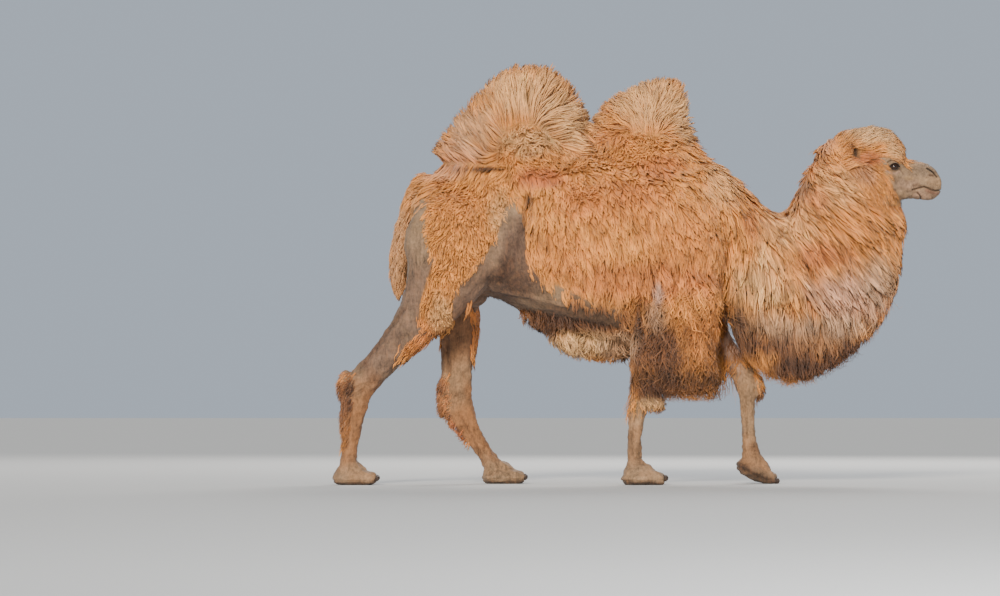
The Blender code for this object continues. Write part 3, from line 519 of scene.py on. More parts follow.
# how deep and wide each crease is cut, and how wide and dark its painted shade is
creaseLook = {"deep": 0.0030, "wide": 0.0034, "shadow": 0.004, "dark": 0.35}
footPads = {
    "room": (0.17, 0.12),  # the height and half width that hold a foot
    "toes": (0.60, 0.80),  # where they part, as shares of the foot's length
    "cut": (0.016, 0.0065),  # how deep and wide the cut between them is
    "sole": (0.021, 0.0050, 0.0045),  # how high, deep and wide the line over the sole is
    "bend": (0.07, 0.47),  # of the lifted foot: how far behind its tip, and how steep
}
lipSplit = (0.0060, 0.0030)  # how deep and wide


def foldAmount(points, line, wide):
    return np.exp(-(fromLine(points, line)[0] / wide) ** 2)


def ownSide(points, name):
    for word, side in legFolds.items():
        if name.endswith(word):
            return points[:, 1] * side > 0
    return 1.0


def creaseLines():
    for x, z, reach, turn, count, apart, side in creases:
        way = math.radians(turn)
        for k in range(count):
            shift = (k - (count - 1) / 2) * apart
            bend = 0.3 * apart * math.sin(2.1 * k)
            cx, cz = x - shift * math.sin(way) + bend, z + shift * math.cos(way)
            yield [(cx - reach * math.cos(way), cz - reach * math.sin(way)),
                   (cx + reach * math.cos(way), cz + reach * math.sin(way))], side


def sculptHead(points, move):
    x, y, z = points.T
    deep, wide = lipSplit
    lip = smoothStep(1.505, 1.525, x) * smoothStep(1.500, 1.510, z) * (1 - smoothStep(1.56, 1.58, z))
    move -= deep * np.exp(-(y / wide) ** 2) * lip
    move += smoothStep(1.38, 1.46, x) * 0.0007 * ripple(points, 0.009, 61)
    move += 0.0012 * ripple(points, 0.035, 62)


def sculptLegs(points, move):
    x, y, z = points.T
    for line, side in creaseLines():
        move -= creaseLook["deep"] * foldAmount(points, line, creaseLook["wide"]) * (y * side > 0)
    top, reach = footPads["room"]
    cut, cutWide = footPads["cut"]
    high, deep, wide = footPads["sole"]
    back, slope = footPads["bend"]
    for name in (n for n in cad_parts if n.startswith("foot_")):
        heel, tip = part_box(name)
        middle = (heel.y + tip.y) / 2
        ours = (x > heel.x) & (x < tip.x) & (z < top) & (np.abs(y - middle) < reach)
        toes = smoothStep(*(heel.x + share * (tip.x - heel.x) for share in footPads["toes"]), x)
        move -= ours * toes * cut * np.exp(-((y - middle) / cutWide) ** 2)
        edge = z - high
        if "fore_left" in name:  # the lifted foot
            edge = edge - slope * np.maximum(tip.x - back - x, 0)
        move -= ours * deep * np.exp(-(edge / wide) ** 2)
    limbs = (1 - smoothStep(0.75, 1.0, z)) * 0.0016 + 0.0008
    move += limbs * ripple(points, 0.045, 63)


def sculpted(points, normals, onHead):  # the skin's points moved by its folds and toes
    move = np.zeros(len(points))
    facing = smoothStep(0.05, 0.35, np.abs(normals[:, 1]))
    for name, (line, wide, height, _, _) in folds.items():
        if (line[0][0] > headFrom) == onHead:
            amount = height * foldAmount(points, line, wide) * ownSide(points, name)
            move += amount if name in wrapping else amount * facing
    if onHead:
        sculptHead(points, move)
    else:
        sculptLegs(points, move)
    return points + normals * move[:, None]


def eyeAxes(side):  # along the opening, up, and out of the eye
    look = unit(np.array(skin["gaze"]) * (1, side, 1))
    along = unit(np.cross((0, 0, 1.0), look) * -side)
    return along, np.cross(along, look) * side, look


def lidPoint(side, turn, reach, wider=0.0):  # on the edge of the lids, at a turn round the opening
    centre, _ = eyePlace(side)
    along, up, look = eyeAxes(side)
    half, high = skin["opening"]
    a, b = (half + wider) * math.cos(turn), (high + wider) * math.sin(turn) * abs(math.sin(turn)) ** 0.25
    out = math.sqrt(max(reach * reach - a * a - b * b, 1e-8))
    return centre + along * a + up * b + look * out


def openingRoom(points, side):  # how far inside the opening between the lids, and where from the eye
    centre, _ = eyePlace(side)
    along, up, look = eyeAxes(side)
    offset = points - centre
    a, b = offset @ along, offset @ up
    half, high = skin["opening"]
    room = high * np.sqrt(np.clip(1 - (a / half) ** 2, 0, 1)) ** 1.25 - np.abs(b)
    return np.where(np.abs(a) < half, room, -np.hypot(np.abs(a) - half, b)), offset, offset @ look


def openedLids(points):  # presses the skin below the eye inside the opening, and lifts lids over it
    for side in eyeNodes:
        _, radius = eyePlace(side)
        room, offset, out = openingRoom(points, side)
        reach = np.linalg.norm(offset, axis=1)
        target = radius + skin["lid"] - (skin["lid"] + 0.0045) * smoothStep(-0.0010, 0.0012, room)
        near = (out > -0.004) * smoothStep(-0.010, -0.002, room) * (reach < radius + 0.03)
        points = points + unit(offset) * (near * (target - reach))[:, None]
    return points


def addTube(bm, path, radii, sides=8):  # a closed tube along a ring of places
    turn = unit(path - path.mean(0))
    rings = []
    for k, (spot, out, radius) in enumerate(zip(path, turn, radii)):
        ahead = unit(path[(k + 1) % len(path)] - path[k - 1])
        rise = np.cross(ahead, out)
        ring = [bm.verts.new(spot + radius * (math.cos(t) * out + math.sin(t) * rise))
                for t in (2 * math.pi * i / sides for i in range(sides))]
        for i in range(sides):
            bm.edges.new((ring[i], ring[(i + 1) % sides]))
        rings.append(ring)
    for one, other in zip(rings, rings[1:] + rings[:1]):
        edges = [bm.edges.get((r[i], r[(i + 1) % sides])) for r in (one, other) for i in range(sides)]
        bmesh.ops.bridge_loops(bm, edges=edges)


lidEdges = [  # two moist rims to each eye: how much wider than the opening, how far out, how thick
    (0.0006, 0.0010, 0.0013),
    (0.0030, 0.0026, 0.0026),
]


def lidRims(bm):  # the thick moist edges of the lids
    for side in eyeNodes:
        _, radius = eyePlace(side)
        turns = np.linspace(0, 2 * math.pi, 57)[:-1]
        fuller = np.where(np.sin(turns) > 0, 1.25, 0.85)  # above and below
        for wider, lift, thick in lidEdges:
            path = np.array([lidPoint(side, t, radius + lift, wider) for t in turns])
            addTube(bm, path, thick * fuller)


def refined(mesh, zone, longest):  # long edges inside the zone halved, and eased a little
    bm = bmesh.new()
    bm.from_mesh(mesh)
    inside = zone(pointsOf(mesh))
    edges = [e for e in bm.edges if e.calc_length() > longest
             and inside[e.verts[0].index] and inside[e.verts[1].index]]
    bmesh.ops.subdivide_edges(bm, edges=edges, cuts=1, use_grid_fill=True)
    bmesh.ops.triangulate(bm, faces=[f for f in bm.faces if len(f.verts) > 4])
    fine = meshOf(bm, "skinRefined")
    return through(fine, smoothed(3, vertex_group="weights"), weights=zone(pointsOf(fine)).astype(float))


def onFace(points):
    return (points[:, 0] > 1.215) & (points[:, 2] > 1.425) & (coatDepth(points) < 0.012)


def nearEyes(points):
    gap = [np.linalg.norm(points - eyePlace(side)[0], axis=1) for side in eyeNodes]
    return np.minimum(*gap) < 0.040


def nearLips(points):
    lines = [folds[name][0] for name in ("mouth", "nostril", "nostrilEnd", "chinCrease")]
    return np.min([fromLine(points, line)[0] for line in lines], axis=0) < 0.011


def buildSkin():
    eyes = [eyePlace(side) for side in eyeNodes]
    lids = [(centre, radius + skin["lid"]) for centre, radius in eyes]
    fine = through(joinedFlesh(lids), remeshed(skin["voxel"]))
    x, _, z = pointsOf(fine).T
    head = smoothStep(0.94, 1.04, x) * smoothStep(1.36, 1.44, z)
    feet = 1 - smoothStep(0.10, 0.16, z)
    soft = through(fine, smoothed(skin["smooth"], vertex_group="weights"),
                   weights=np.clip(1 - skin["crisp"] * np.maximum(head, 0.9 * feet), 0, 1))
    points = pointsOf(soft)
    inward = normalsOf(through(soft.copy(), smoothed(skin["steady"])))
    points -= inward * (coatDepth(points) + outer["swell"] + skin["clear"])[:, None]
    placePoints(soft, points)
    inset = through(soft, remeshed(skin["voxel"]), smoothed(2))
    placePoints(inset, sculpted(pointsOf(inset), normalsOf(inset), False))
    say(f"skin inset {len(inset.vertices)} points")
    made = through(inset, ("DECIMATE", {"ratio": skin["share"], "vertex_group": "weights"}),
                   weights=np.where(onFace(pointsOf(inset)), 0.0, 1.0))
    made = refined(made, onFace, skin["faceEdge"])
    made = refined(made, lambda p: nearEyes(p) | nearLips(p) & onFace(p), skin["lipEdge"])
    placePoints(made, sculpted(pointsOf(made), normalsOf(made), True))
    made = refined(made, nearEyes, skin["eyeEdge"])
    points = openedLids(pointsOf(made))
    points[:, 2] = np.maximum(points[:, 2], skin["floor"])
    placePoints(made, points)
    bm = bmesh.new()
    bm.from_mesh(made)
    lidRims(bm)
    bm.normal_update()
    bmesh.ops.recalc_face_normals(bm, faces=bm.faces)
    made = meshOf(bm, "skin")
    say(f"skin {len(made.vertices)} points, {triangleCount(made)} triangles")
    return made


skinMesh = buildSkin()


# Shader maths as Python expressions

def put(tree, slot, value):  # a link or a plain value
    if isinstance(value, Sock):
        tree.links.new(value.socket, slot)
    else:
        slot.default_value = value


class Sock:
    def __init__(self, tree, socket):
        self.tree, self.socket = tree, socket

    def maths(self, operation, *others, swap=False):
        made = self.tree.nodes.new("ShaderNodeMath")
        made.operation = operation
        terms = [self, *others]
        if swap:
            terms.reverse()
        for slot, term in zip(made.inputs, terms):
            put(self.tree, slot, term)
        return Sock(self.tree, made.outputs[0])

    def __add__(self, other):
        return self.maths("ADD", other)

    __radd__ = __add__

    def __sub__(self, other):
        return self.maths("SUBTRACT", other)

    def __rsub__(self, other):
        return self.maths("SUBTRACT", other, swap=True)

    def __mul__(self, other):
        return self.maths("MULTIPLY", other)

    __rmul__ = __mul__

    def __pow__(self, other):
        return self.maths("POWER", other)

    def clamped(self, low=0.0, high=1.0):
        return self.maths("MAXIMUM", low).maths("MINIMUM", high)


class Finish:  # one material and the nodes it is made of
    def __init__(self, name, roughness, specular=0.3, sheen=0.0, coat=0.0):
        self.material = bpy.data.materials.new(name)
        self.material.use_nodes = True
        self.tree = self.material.node_tree
        self.shader = self.tree.nodes["Principled BSDF"]
        self.feed("Roughness", roughness)
        self.feed("Specular IOR Level", specular)
        self.feed("Sheen Weight", sheen)
        self.feed("Sheen Roughness", 0.5)
        self.feed("Coat Weight", coat)

    def feed(self, socket, value):
        put(self.tree, self.shader.inputs[socket], value)

    def node(self, kind, settings=None, output=0, **sockets):  # n0, n6 and n7 are sockets by number
        made = self.tree.nodes.new("ShaderNode" + kind)
        for key, value in (settings or {}).items():
            setattr(made, key, value)
        for key, value in sockets.items():
            slot = made.inputs[int(key[1:])] if key[0] == "n" and key[1:].isdigit() else made.inputs[key]
            put(self.tree, slot, value)
        return Sock(self.tree, made.outputs[output])

    def attribute(self, name, output="Fac"):
        return self.node("Attribute", {"attribute_name": name}, output)

    def place(self):
        return self.node("TexCoord", None, "Object")

    def mix(self, share, one, other, blend="MIX"):  # of two colours
        return self.node("Mix", {"data_type": "RGBA", "blend_type": blend}, 2, n0=share, n6=one, n7=other)

    def lit(self, light, colour):  # a colour made lighter or darker
        return self.mix(light, (0.0, 0.0, 0.0, 1.0), colour)

    def noise(self, vector, scale, detail=3.0, rough=0.55):
        if isinstance(scale, tuple):  # stretched along its axes
            vector = self.node("Mapping", None, 0, Vector=vector, Scale=scale)
            scale = 1.0
        return self.node("TexNoise", None, 0, Vector=vector, Scale=scale, Detail=detail, Roughness=rough)

    def bump(self, height, distance, strength=1.0):
        made = self.node("Bump", None, 0, Height=height, Distance=distance, Strength=strength)
        self.feed("Normal", made)


def rgba(tone, light=1.0):
    return (*(linear(palette[tone]) * light), 1.0)


wool = {
    "root": 0.90,  # how light a tuft is at its root, darker there as painted shade deep in the coat, and how much more at its tip
    "tip": 0.55,
    "tufts": 0.26,  # how much the light changes from tuft to tuft
    "fibre": 1.9,  # with the fibres, the crimp and slowly over the coat
    "crimp": 0.4,
    "cloud": 0.35,
    "depth": 0.28,  # of rust at the roots, painted shade deep in the coat
}
fur = {"root": 0.47, "tip": 0.16, "tufts": 0.3, "grain": 900.0}


def makeWool():
    look = Finish("woolLocks", 0.86, specular=0.16, sheen=0.2)
    along, chance = look.attribute("along"), look.attribute("chance")
    strand = look.node("UVMap", {"uv_map": "strand"})
    fibre = look.noise(strand, (12.0, 0.35, 1.0), 4.0, 0.75)
    crimp = look.noise(strand, (4.0, 2.0, 1.0), 1.0)
    cloud = look.noise(look.place(), 26.0, 2.0)
    # darker at the root than at the tip: painted shade deep in the coat
    light = wool["root"] + wool["tip"] * along.clamped() + wool["tufts"] * (chance - 0.5)
    light = light + wool["fibre"] * (fibre - 0.5) + wool["crimp"] * (crimp - 0.5)
    light = light + wool["cloud"] * (cloud - 0.5)
    deep = look.lit(light.clamped(0.05, 1.8), look.attribute("markingAndShade", "Color"))
    # the roots darkened towards rust: painted shade deep in the coat
    root = (1 - along).clamped() * wool["depth"]
    look.feed("Base Color", look.mix(root, deep, rgba("rust"), "MULTIPLY"))
    look.bump(fibre + 0.5 * crimp, 0.004, 0.9)
    return look.material


def makeFur():  # short hairs, as light as the skin under them
    look = Finish("shortHair", 0.8, specular=0.2, sheen=0.1)
    light = fur["root"] + fur["tip"] * look.attribute("along")
    light = light + fur["tufts"] * (look.attribute("chance") - 0.5)
    look.feed("Base Color", look.lit(light.clamped(0.1, 1.3), look.attribute("markingAndShade", "Color")))
    look.bump(look.noise(look.place(), fur["grain"], 2.0), 0.0006, 0.5)
    return look.material


hide = {
    "light": 0.49,
    "hair": 0.7,  # how much the light changes with the lie of the hair, wrinkles, slowly and in streaks
    "wrinkle": 0.5,
    "cloud": 0.9,
    "streak": 0.7,
    "warm": 0.3,  # of clay in the streaks
    "dust": 0.16,
}


def makeSkinFinish():
    look = Finish("skin", 0.74, specular=0.25, sheen=0.08)
    place = look.place()
    hair = look.noise(place, (420.0, 420.0, 60.0), 2.0)
    wrinkle = look.noise(place, 75.0, 4.0, 0.6)
    cloud = look.noise(place, 13.0, 4.0, 0.6)
    dust = look.noise(place, 30.0, 3.0, 0.65)
    streak = look.noise(place, (75.0, 75.0, 11.0), 3.0, 0.6)
    streaky = (streak - 0.5) * look.attribute("streaks")
    shade = hide["light"] + hide["hair"] * (hair - 0.5) + hide["wrinkle"] * (wrinkle - 0.5)
    shade = shade + hide["cloud"] * (cloud - 0.5) + hide["streak"] * streaky
    shaded = look.lit(shade.clamped(0.0, 1.3), look.attribute("markingAndShade", "Color"))
    warm = look.mix(((streaky + 0.02) * 4.0).clamped() * hide["warm"], shaded, rgba("clay", 0.5))
    dusty = look.mix(((dust - 0.50) * 2.0).clamped() * hide["dust"], warm, rgba("cream", 0.7))
    look.feed("Base Color", dusty)
    look.feed("Roughness", 0.62 + 0.3 * hair)
    look.bump(0.5 * hair + wrinkle, 0.0035, 0.8)
    return look.material


eye = {
    "segments": 48,
    "rings": 32,
    "iris": 0.0152,
    "limbus": 0.0022,  # the soft edge between the iris and the white
    "pupil": (0.0088, 0.0038),  # half its length and half its height
    "bulge": 0.0014,  # of the clear front
    "deep": (0.010, 0.005, 0.004, 1.0),  # the iris, from its dark rays to its light ones
    "light": (0.055, 0.025, 0.013, 1.0),
    "ring": (0.012, 0.007, 0.006, 1.0),
    "white": (0.045, 0.026, 0.020, 1.0),
    "black": (0.004, 0.004, 0.005, 1.0),
}


def makeEyeFinish():
    look = Finish("eye", 0.09, specular=0.3, coat=0.2)
    across, rise = look.attribute("gazeAcross"), look.attribute("gazeUp")
    reach = (across * across + rise * rise) ** 0.5
    rays = look.noise(look.attribute("gazeWay", "Vector"), 5.0, 3.0, 0.6)
    wide, high = eye["pupil"]
    pupil = 1 - ((across * across * (1 / wide**2) + rise * rise * (1 / high**2) - 0.75) * 3.0).clamped()
    white = ((reach - eye["iris"]) * (1 / eye["limbus"])).clamped()
    iris = look.mix((rays * 1.7 - 0.35).clamped(), eye["deep"], eye["light"])
    ringed = look.mix(((reach - 0.78 * eye["iris"]) * (1 / 0.003)).clamped(), iris, eye["ring"])
    ball = look.mix(white, ringed, eye["white"])
    look.feed("Base Color", look.mix(pupil, ball, eye["black"]))
    return look.material


def makeNailFinish():
    look = Finish("nail", 0.5, specular=0.4)
    place = look.place()
    grain = look.noise(place, (60.0, 500.0, 160.0), 3.0)
    chip = look.noise(place, 140.0, 3.0, 0.6)
    worn = look.mix((grain * 1.5 - 0.3).clamped(), rgba("ink"), rgba("pad", 0.8))
    look.feed("Base Color", look.mix(((chip - 0.56) * 5.0).clamped() * 0.5, worn, rgba("tan", 0.7)))
    look.feed("Roughness", 0.35 + 0.4 * grain)
    look.bump(grain + 0.6 * chip, 0.0015, 0.8)
    return look.material


woolFinish = makeWool()
skinFinish = makeSkinFinish()
furFinish = makeFur()


# The unwrap of the skin's own shape that places each tuft's patch for baking

unwrap = {
    "share": 0.08,  # of the skin's faces
    "angle": 1.15,  # the sharpest bend inside an island, in radians
    "margin": 0.002,
}


def unwrapSkin(mesh):
    mesh = through(mesh.copy(), ("DECIMATE", {"ratio": unwrap["share"]}))
    bm = bmesh.new()
    bm.from_mesh(mesh)
    bmesh.ops.triangulate(bm, faces=bm.faces)
    bm.to_mesh(mesh)
    bm.free()
    obj = addObject("skinUnwrap", mesh)
    bpy.context.view_layer.objects.active = obj
    obj.select_set(True)
    bpy.ops.object.mode_set(mode="EDIT")
    bpy.ops.mesh.select_all(action="SELECT")
    bpy.ops.uv.smart_project(angle_limit=unwrap["angle"], island_margin=unwrap["margin"],
                             scale_to_bounds=False)
    bpy.ops.object.mode_set(mode="OBJECT")
    tree = BVHTree.FromObject(obj, bpy.context.evaluated_depsgraph_get())
    count = len(mesh.polygons)
    flat = np.empty(count * 6, np.float32)
    mesh.uv_layers.active.data.foreach_get("uv", flat)
    corners = np.empty(count * 3, np.int32)
    mesh.polygons.foreach_get("vertices", corners)
    triangles = pointsOf(mesh)[corners].reshape(count, 3, 3).tolist()
    bpy.data.objects.remove(obj)
    return tree, triangles, flat.reshape(count, 3, 2)


unwrapTree, unwrapTriangles, unwrapPlaces = unwrapSkin(skinMesh)
say("skin unwrapped")


def patchPlaces(points):  # where each tuft's patch lies on the unwrap
    made = np.empty((len(points), 2))
    for i, p in enumerate(points.tolist()):
        spot, _, face, _ = unwrapTree.find_nearest(p)
        corners = [Vector(c) for c in unwrapTriangles[face]]
        flat = [Vector((u, v, 0.0)) for u, v in unwrapPlaces[face].tolist()]
        made[i] = barycentric_transform(spot, *corners, *flat)[:2]
    return np.clip(np.nan_to_num(made, nan=0.5), unwrap["margin"], 1 - unwrap["margin"])


# One tuft's shape, which every lock of the coat is bent from

tuft = {
    "sides": 3,
    "taper": ((0, 0.2, 0.55, 0.85, 1), (0.7, 1.0, 0.86, 0.46, 0.0)),  # width at these shares of its length
    "twist": 1.6,  # radians, from tuft to tuft
    "patch": 0.003,  # how wide its patch is in the bake map
    "strand": 0.02,  # the length that one turn of the strand map covers
}


def tuftShape(steps):
    bm = bmesh.new()
    bmesh.ops.create_cone(bm, cap_ends=True, segments=tuft["sides"], radius1=1.0, radius2=0.0, depth=1.0,
                          matrix=Matrix.Translation((0, 0, 0.5)))
    for k in range(1, steps):
        bmesh.ops.bisect_plane(bm, geom=bm.verts[:] + bm.edges[:] + bm.faces[:], dist=1e-6,
                               plane_co=(0, 0, k / steps), plane_no=(0, 0, 1))
    bm.normal_update()
    bm.verts.index_update()
    sizes = [len(f.verts) for f in bm.faces]
    shape = {
        "level": np.array([round(v.co.z * steps) for v in bm.verts]),
        "turn": np.array([math.atan2(v.co.y, v.co.x) for v in bm.verts]),
        "radius": np.array([1.0 if v.co.z < 0.999 else 0.0 for v in bm.verts]),
        "corners": np.array([v.index for f in bm.faces for v in f.verts]),
        "starts": np.cumsum([0] + sizes[:-1]),
    }
    bm.free()
    return shape


def coatMesh(name, paths, normals, widths, flatness, roots, chance, colours, lean=0.0):
    # paths: tufts x levels x 3. One joined mesh of closed tufts, each bent along its own path.
    # lean: how far the tufts are lit like the coat they lie in
    count, levels = paths.shape[:2]
    shape = tuftShape(levels - 1)
    level, turn, corners = shape["level"], shape["turn"], shape["corners"]
    tangent = unit(np.gradient(paths, axis=1))
    across = unit(np.cross(normals, tangent))
    rise = np.cross(tangent, across)[:, level]
    across = across[:, level]
    angle = turn[None] + (chance[:, None] - 0.5) * tuft["twist"]
    cosine, sine = np.cos(angle), np.sin(angle)
    share = np.arange(levels) / (levels - 1)
    half = widths[:, None] * np.interp(share, *tuft["taper"])[None] / 2
    half = half[:, level] * shape["radius"][None]
    points = paths[:, level] + across * (half * cosine)[..., None]
    points += rise * (half * sine * flatness)[..., None]

    def forAll(numbers, apart):  # one tuft's numbers, carried on through all tufts
        return (numbers[None] + (np.arange(count) * apart)[:, None]).astype(np.int32).ravel()

    mesh = bpy.data.meshes.new(name)
    mesh.vertices.add(count * len(level))
    mesh.vertices.foreach_set("co", points.astype(np.float32).ravel())
    mesh.loops.add(count * len(corners))
    mesh.loops.foreach_set("vertex_index", forAll(corners, len(level)))
    mesh.polygons.add(count * len(shape["starts"]))
    mesh.polygons.foreach_set("loop_start", forAll(shape["starts"], len(corners)))
    mesh.update(calc_edges=True)
    mesh.shade_smooth()
    if lean:
        own = across * (flatness * cosine)[..., None] + rise * sine[..., None]
        lit = unit(unit(own) * (1 - lean) + normals[:, level] * lean)
        mesh.normals_split_custom_set_from_vertices(lit.reshape(-1, 3).tolist())
    around, along = (turn[corners] / (2 * math.pi)) % 1.0, share[level[corners]]
    patch = tuft["patch"] * (np.stack((around, along), 1)[None] - 0.5)
    writeMap(mesh, "OFBake", patchPlaces(roots)[:, None] + patch)
    length = np.linalg.norm(np.diff(paths, axis=1), axis=2).sum(1)
    turns = around[None] + chance[:, None] * 37
    run = along[None] * (length[:, None] / tuft["strand"]) + chance[:, None] * 91
    writeMap(mesh, "strand", np.stack((turns, run), 2))
    writeFloat(mesh, "along", np.tile(share[level], count))
    writeFloat(mesh, "chance", np.repeat(chance, len(level)))
    writeColour(mesh, "markingAndShade", colours[:, level].reshape(-1, 3))
    return mesh


# Which way the coat lies, as side-view guides: x, z, then forward, out from the middle, up

flows = {
    "rearHump": [
        (-0.62, 1.645, 0.0, 0.4, -0.9), (-0.46, 1.68, 0.5, 0.4, -0.8), (-0.35, 1.73, 0.8, 0.3, -0.5),
        (-0.27, 1.79, 0.8, 0.3, -0.4), (-0.56, 1.76, -0.3, 0.0, 0.9), (-0.8, 1.72, -0.6, 0.0, 0.8),
        (-0.98, 1.69, -0.85, 0.0, 0.4), (-0.74, 1.66, -0.5, 0.3, -0.3), (-0.93, 1.82, -0.7, 0.0, 0.8),
        (-0.8, 1.92, -0.45, 0.0, 0.9), (-0.68, 2.06, -0.2, 0.0, 1.0), (-0.55, 2.08, 0.15, 0.0, 1.0),
        (-0.6, 1.85, -0.1, 0.0, 1.0), (-0.42, 2.0, 0.6, 0.0, 0.75), (-0.3, 1.88, 0.95, 0.0, 0.35),
        (-0.4, 1.82, 1.0, 0.0, 0.15)],
    "frontHump": [
        (0.02, 1.8, -0.2, 0.0, 1.0), (-0.18, 1.84, -1.0, 0.0, 0.25), (0.02, 1.73, 0.1, 0.4, -0.9),
        (-0.12, 1.95, -0.8, 0.0, 0.7), (0.02, 1.98, -0.45, 0.0, 0.95), (0.14, 2.03, 0.3, 0.0, 1.0),
        (0.22, 1.96, 0.6, 0.0, 0.8), (0.15, 1.88, 0.6, 0.0, 0.6), (0.27, 1.84, 0.9, 0.0, 0.1),
        (0.16, 1.74, 0.8, 0.0, -0.5), (-0.12, 1.76, -0.7, 0.0, -0.5), (0.34, 1.72, 0.8, 0.0, -0.5)],
    "trunk": [
        (-1.1, 1.54, -0.9, 0.2, -0.3), (-1.0, 1.48, -0.6, 0.3, -0.7), (-0.8, 1.54, -0.5, 0.3, -0.8),
        (-0.6, 1.5, 0.1, 0.3, -1.0), (-0.56, 1.25, 0.12, 0.0, -1.0), (-0.3, 1.55, 0.3, 0.3, -1.0),
        (-0.3, 1.2, 0.25, 0.0, -1.0), (-0.05, 1.6, 0.3, 0.3, -0.9), (-0.02, 1.2, 0.22, 0.0, -1.0),
        (0.2, 1.6, 0.5, 0.3, -0.8), (0.2, 1.3, 0.35, 0.0, -1.0), (0.38, 1.45, 0.35, 0.2, -0.9),
        (0.3, 1.0, 0.1, 0.0, -1.0), (0.42, 1.15, 0.05, 0.1, -1.0), (-0.2, 0.95, 0.1, 0.0, -1.0)],
    "neck": [
        (0.5, 1.55, 0.55, 0.3, -0.8), (0.52, 1.25, 0.05, 0.0, -1.0), (0.56, 1.0, 0.0, 0.0, -1.0),
        (0.7, 1.36, 0.35, 0.3, -0.9), (0.8, 1.45, 0.55, 0.3, -0.8), (0.8, 1.2, 0.45, 0.0, -0.9),
        (0.92, 1.6, 0.75, 0.3, -0.6), (0.98, 1.35, 0.7, 0.0, -0.7), (1.02, 1.1, 0.55, 0.0, -0.85),
        (1.1, 1.5, 0.85, 0.0, -0.6), (1.22, 1.38, 0.75, 0.0, -0.7), (1.24, 1.2, 0.65, 0.0, -0.8),
        (1.2, 1.55, 0.5, 0.0, -0.9), (0.9, 1.7, 0.1, 0.6, -0.6)],
    "beard": [
        (0.5, 0.8, 0.0, 0.0, -1.0), (0.7, 0.7, 0.05, 0.0, -1.0), (0.9, 0.75, 0.15, 0.0, -1.0),
        (1.1, 0.9, 0.3, 0.0, -0.95), (1.25, 1.02, 0.45, 0.0, -0.9), (0.7, 0.95, 0.0, 0.0, -1.0)],
    "thigh": [
        (-0.9, 1.5, -0.3, 0.2, -0.9), (-0.9, 1.2, -0.15, 0.0, -1.0), (-0.7, 1.4, 0.35, 0.0, -0.9),
        (-1.05, 1.25, -0.5, 0.0, -0.9), (-1.05, 0.85, -0.1, 0.1, -1.0), (-0.8, 1.15, 0.1, 0.0, -1.0)],
    "down": [(0.0, 1.0, 0.0, 0.05, -1.0)],
    "flank": [(-0.65, 1.2, 0.25, 0.0, -1.0), (-1.2, 0.8, -0.35, 0.0, -1.0), (-0.3, 0.8, -0.2, 0.0, -1.0)],
    "tail": [(-1.15, 1.55, -0.7, 0.2, -0.7), (-1.2, 1.2, -0.25, 0.35, -1.0), (-1.23, 1.0, 0.0, 0.1, -1.0)],
    "crown": [
        (0.93, 1.7, -0.2, 0.3, 0.8), (0.97, 1.77, 0.1, 0.2, 0.9), (1.02, 1.79, 0.6, 0.1, 0.6),
        (1.1, 1.78, 0.8, 0.0, 0.6), (1.2, 1.8, 1.0, 0.0, 0.25), (1.3, 1.76, 0.9, 0.0, -0.45),
        (1.34, 1.7, 0.6, 0.0, -0.9), (1.2, 1.7, 0.95, 0.1, 0.1), (1.1, 1.68, 0.9, 0.2, -0.1),
        (1.28, 1.68, 1.0, 0.0, -0.2)],
    "cheek": [
        (1.1, 1.62, 0.5, 0.1, -0.8), (1.18, 1.55, 0.45, 0.0, -0.9), (1.26, 1.47, 0.5, 0.0, -0.85),
        (1.2, 1.66, 0.8, 0.1, -0.4)],
    "face": [
        (1.25, 1.56, 0.3, 0.0, -0.8), (1.36, 1.6, -0.7, 0.0, -0.5), (1.45, 1.63, -0.9, 0.0, 0.1),
        (1.49, 1.55, -0.5, 0.0, -0.8), (1.4, 1.54, -0.8, 0.0, -0.5), (1.45, 1.47, -0.9, 0.0, -0.2),
        (1.33, 1.65, -0.8, 0.0, 0.3), (1.35, 1.48, -0.3, 0.0, -0.9)],
    "ear": [(1.07, 1.66, -0.2, 0.5, 0.8), (1.07, 1.72, -0.2, 0.4, 0.9)],
    "foot": [(0.0, 0.05, 0.7, 0.1, -0.6)],
    "stifle": [
        (-1.14, 0.76, -0.5, 0.1, -0.85), (-1.02, 0.84, -0.3, 0.2, -0.9), (-0.84, 0.8, 0.25, 0.1, -1.0)],
    "hock": [
        (-1.5, 0.45, -0.5, 0.1, -0.8), (-1.0, 0.45, -0.5, 0.1, -0.8), (0.06, 0.42, 0.5, 0.1, -0.8),
        (0.61, 0.5, 0.5, 0.1, -0.8)],
}


def flowAt(points, guides):
    table = np.array(guides)
    gap = (points[:, 0, None] - table[:, 0]) ** 2 + (points[:, 2, None] - table[:, 1]) ** 2
    way = (1 / (gap + 0.0006) ** 1.6) @ table[:, 2:5]
    way[:, 1] *= np.sign(points[:, 1]) + 1e-3
    return unit(way)


# The coat, one entry to each kind of wool. nodes, area: the solids and the outlined place it
# grows on. Lengths and widths in metres, gap is the distance between roots, and clump that between
# locks. What an entry leaves out is as in usual.

legs = [n for n in fleshNodes if n.startswith(("hind", "fore"))]
thighs = ["hind_right_upper", "hind_left_upper"]
arms = ["fore_right_upper", "fore_left_upper"]
humps = ["hump_rear", "hump_front"]
feet = [n for n in fleshNodes if n.startswith("foot")]

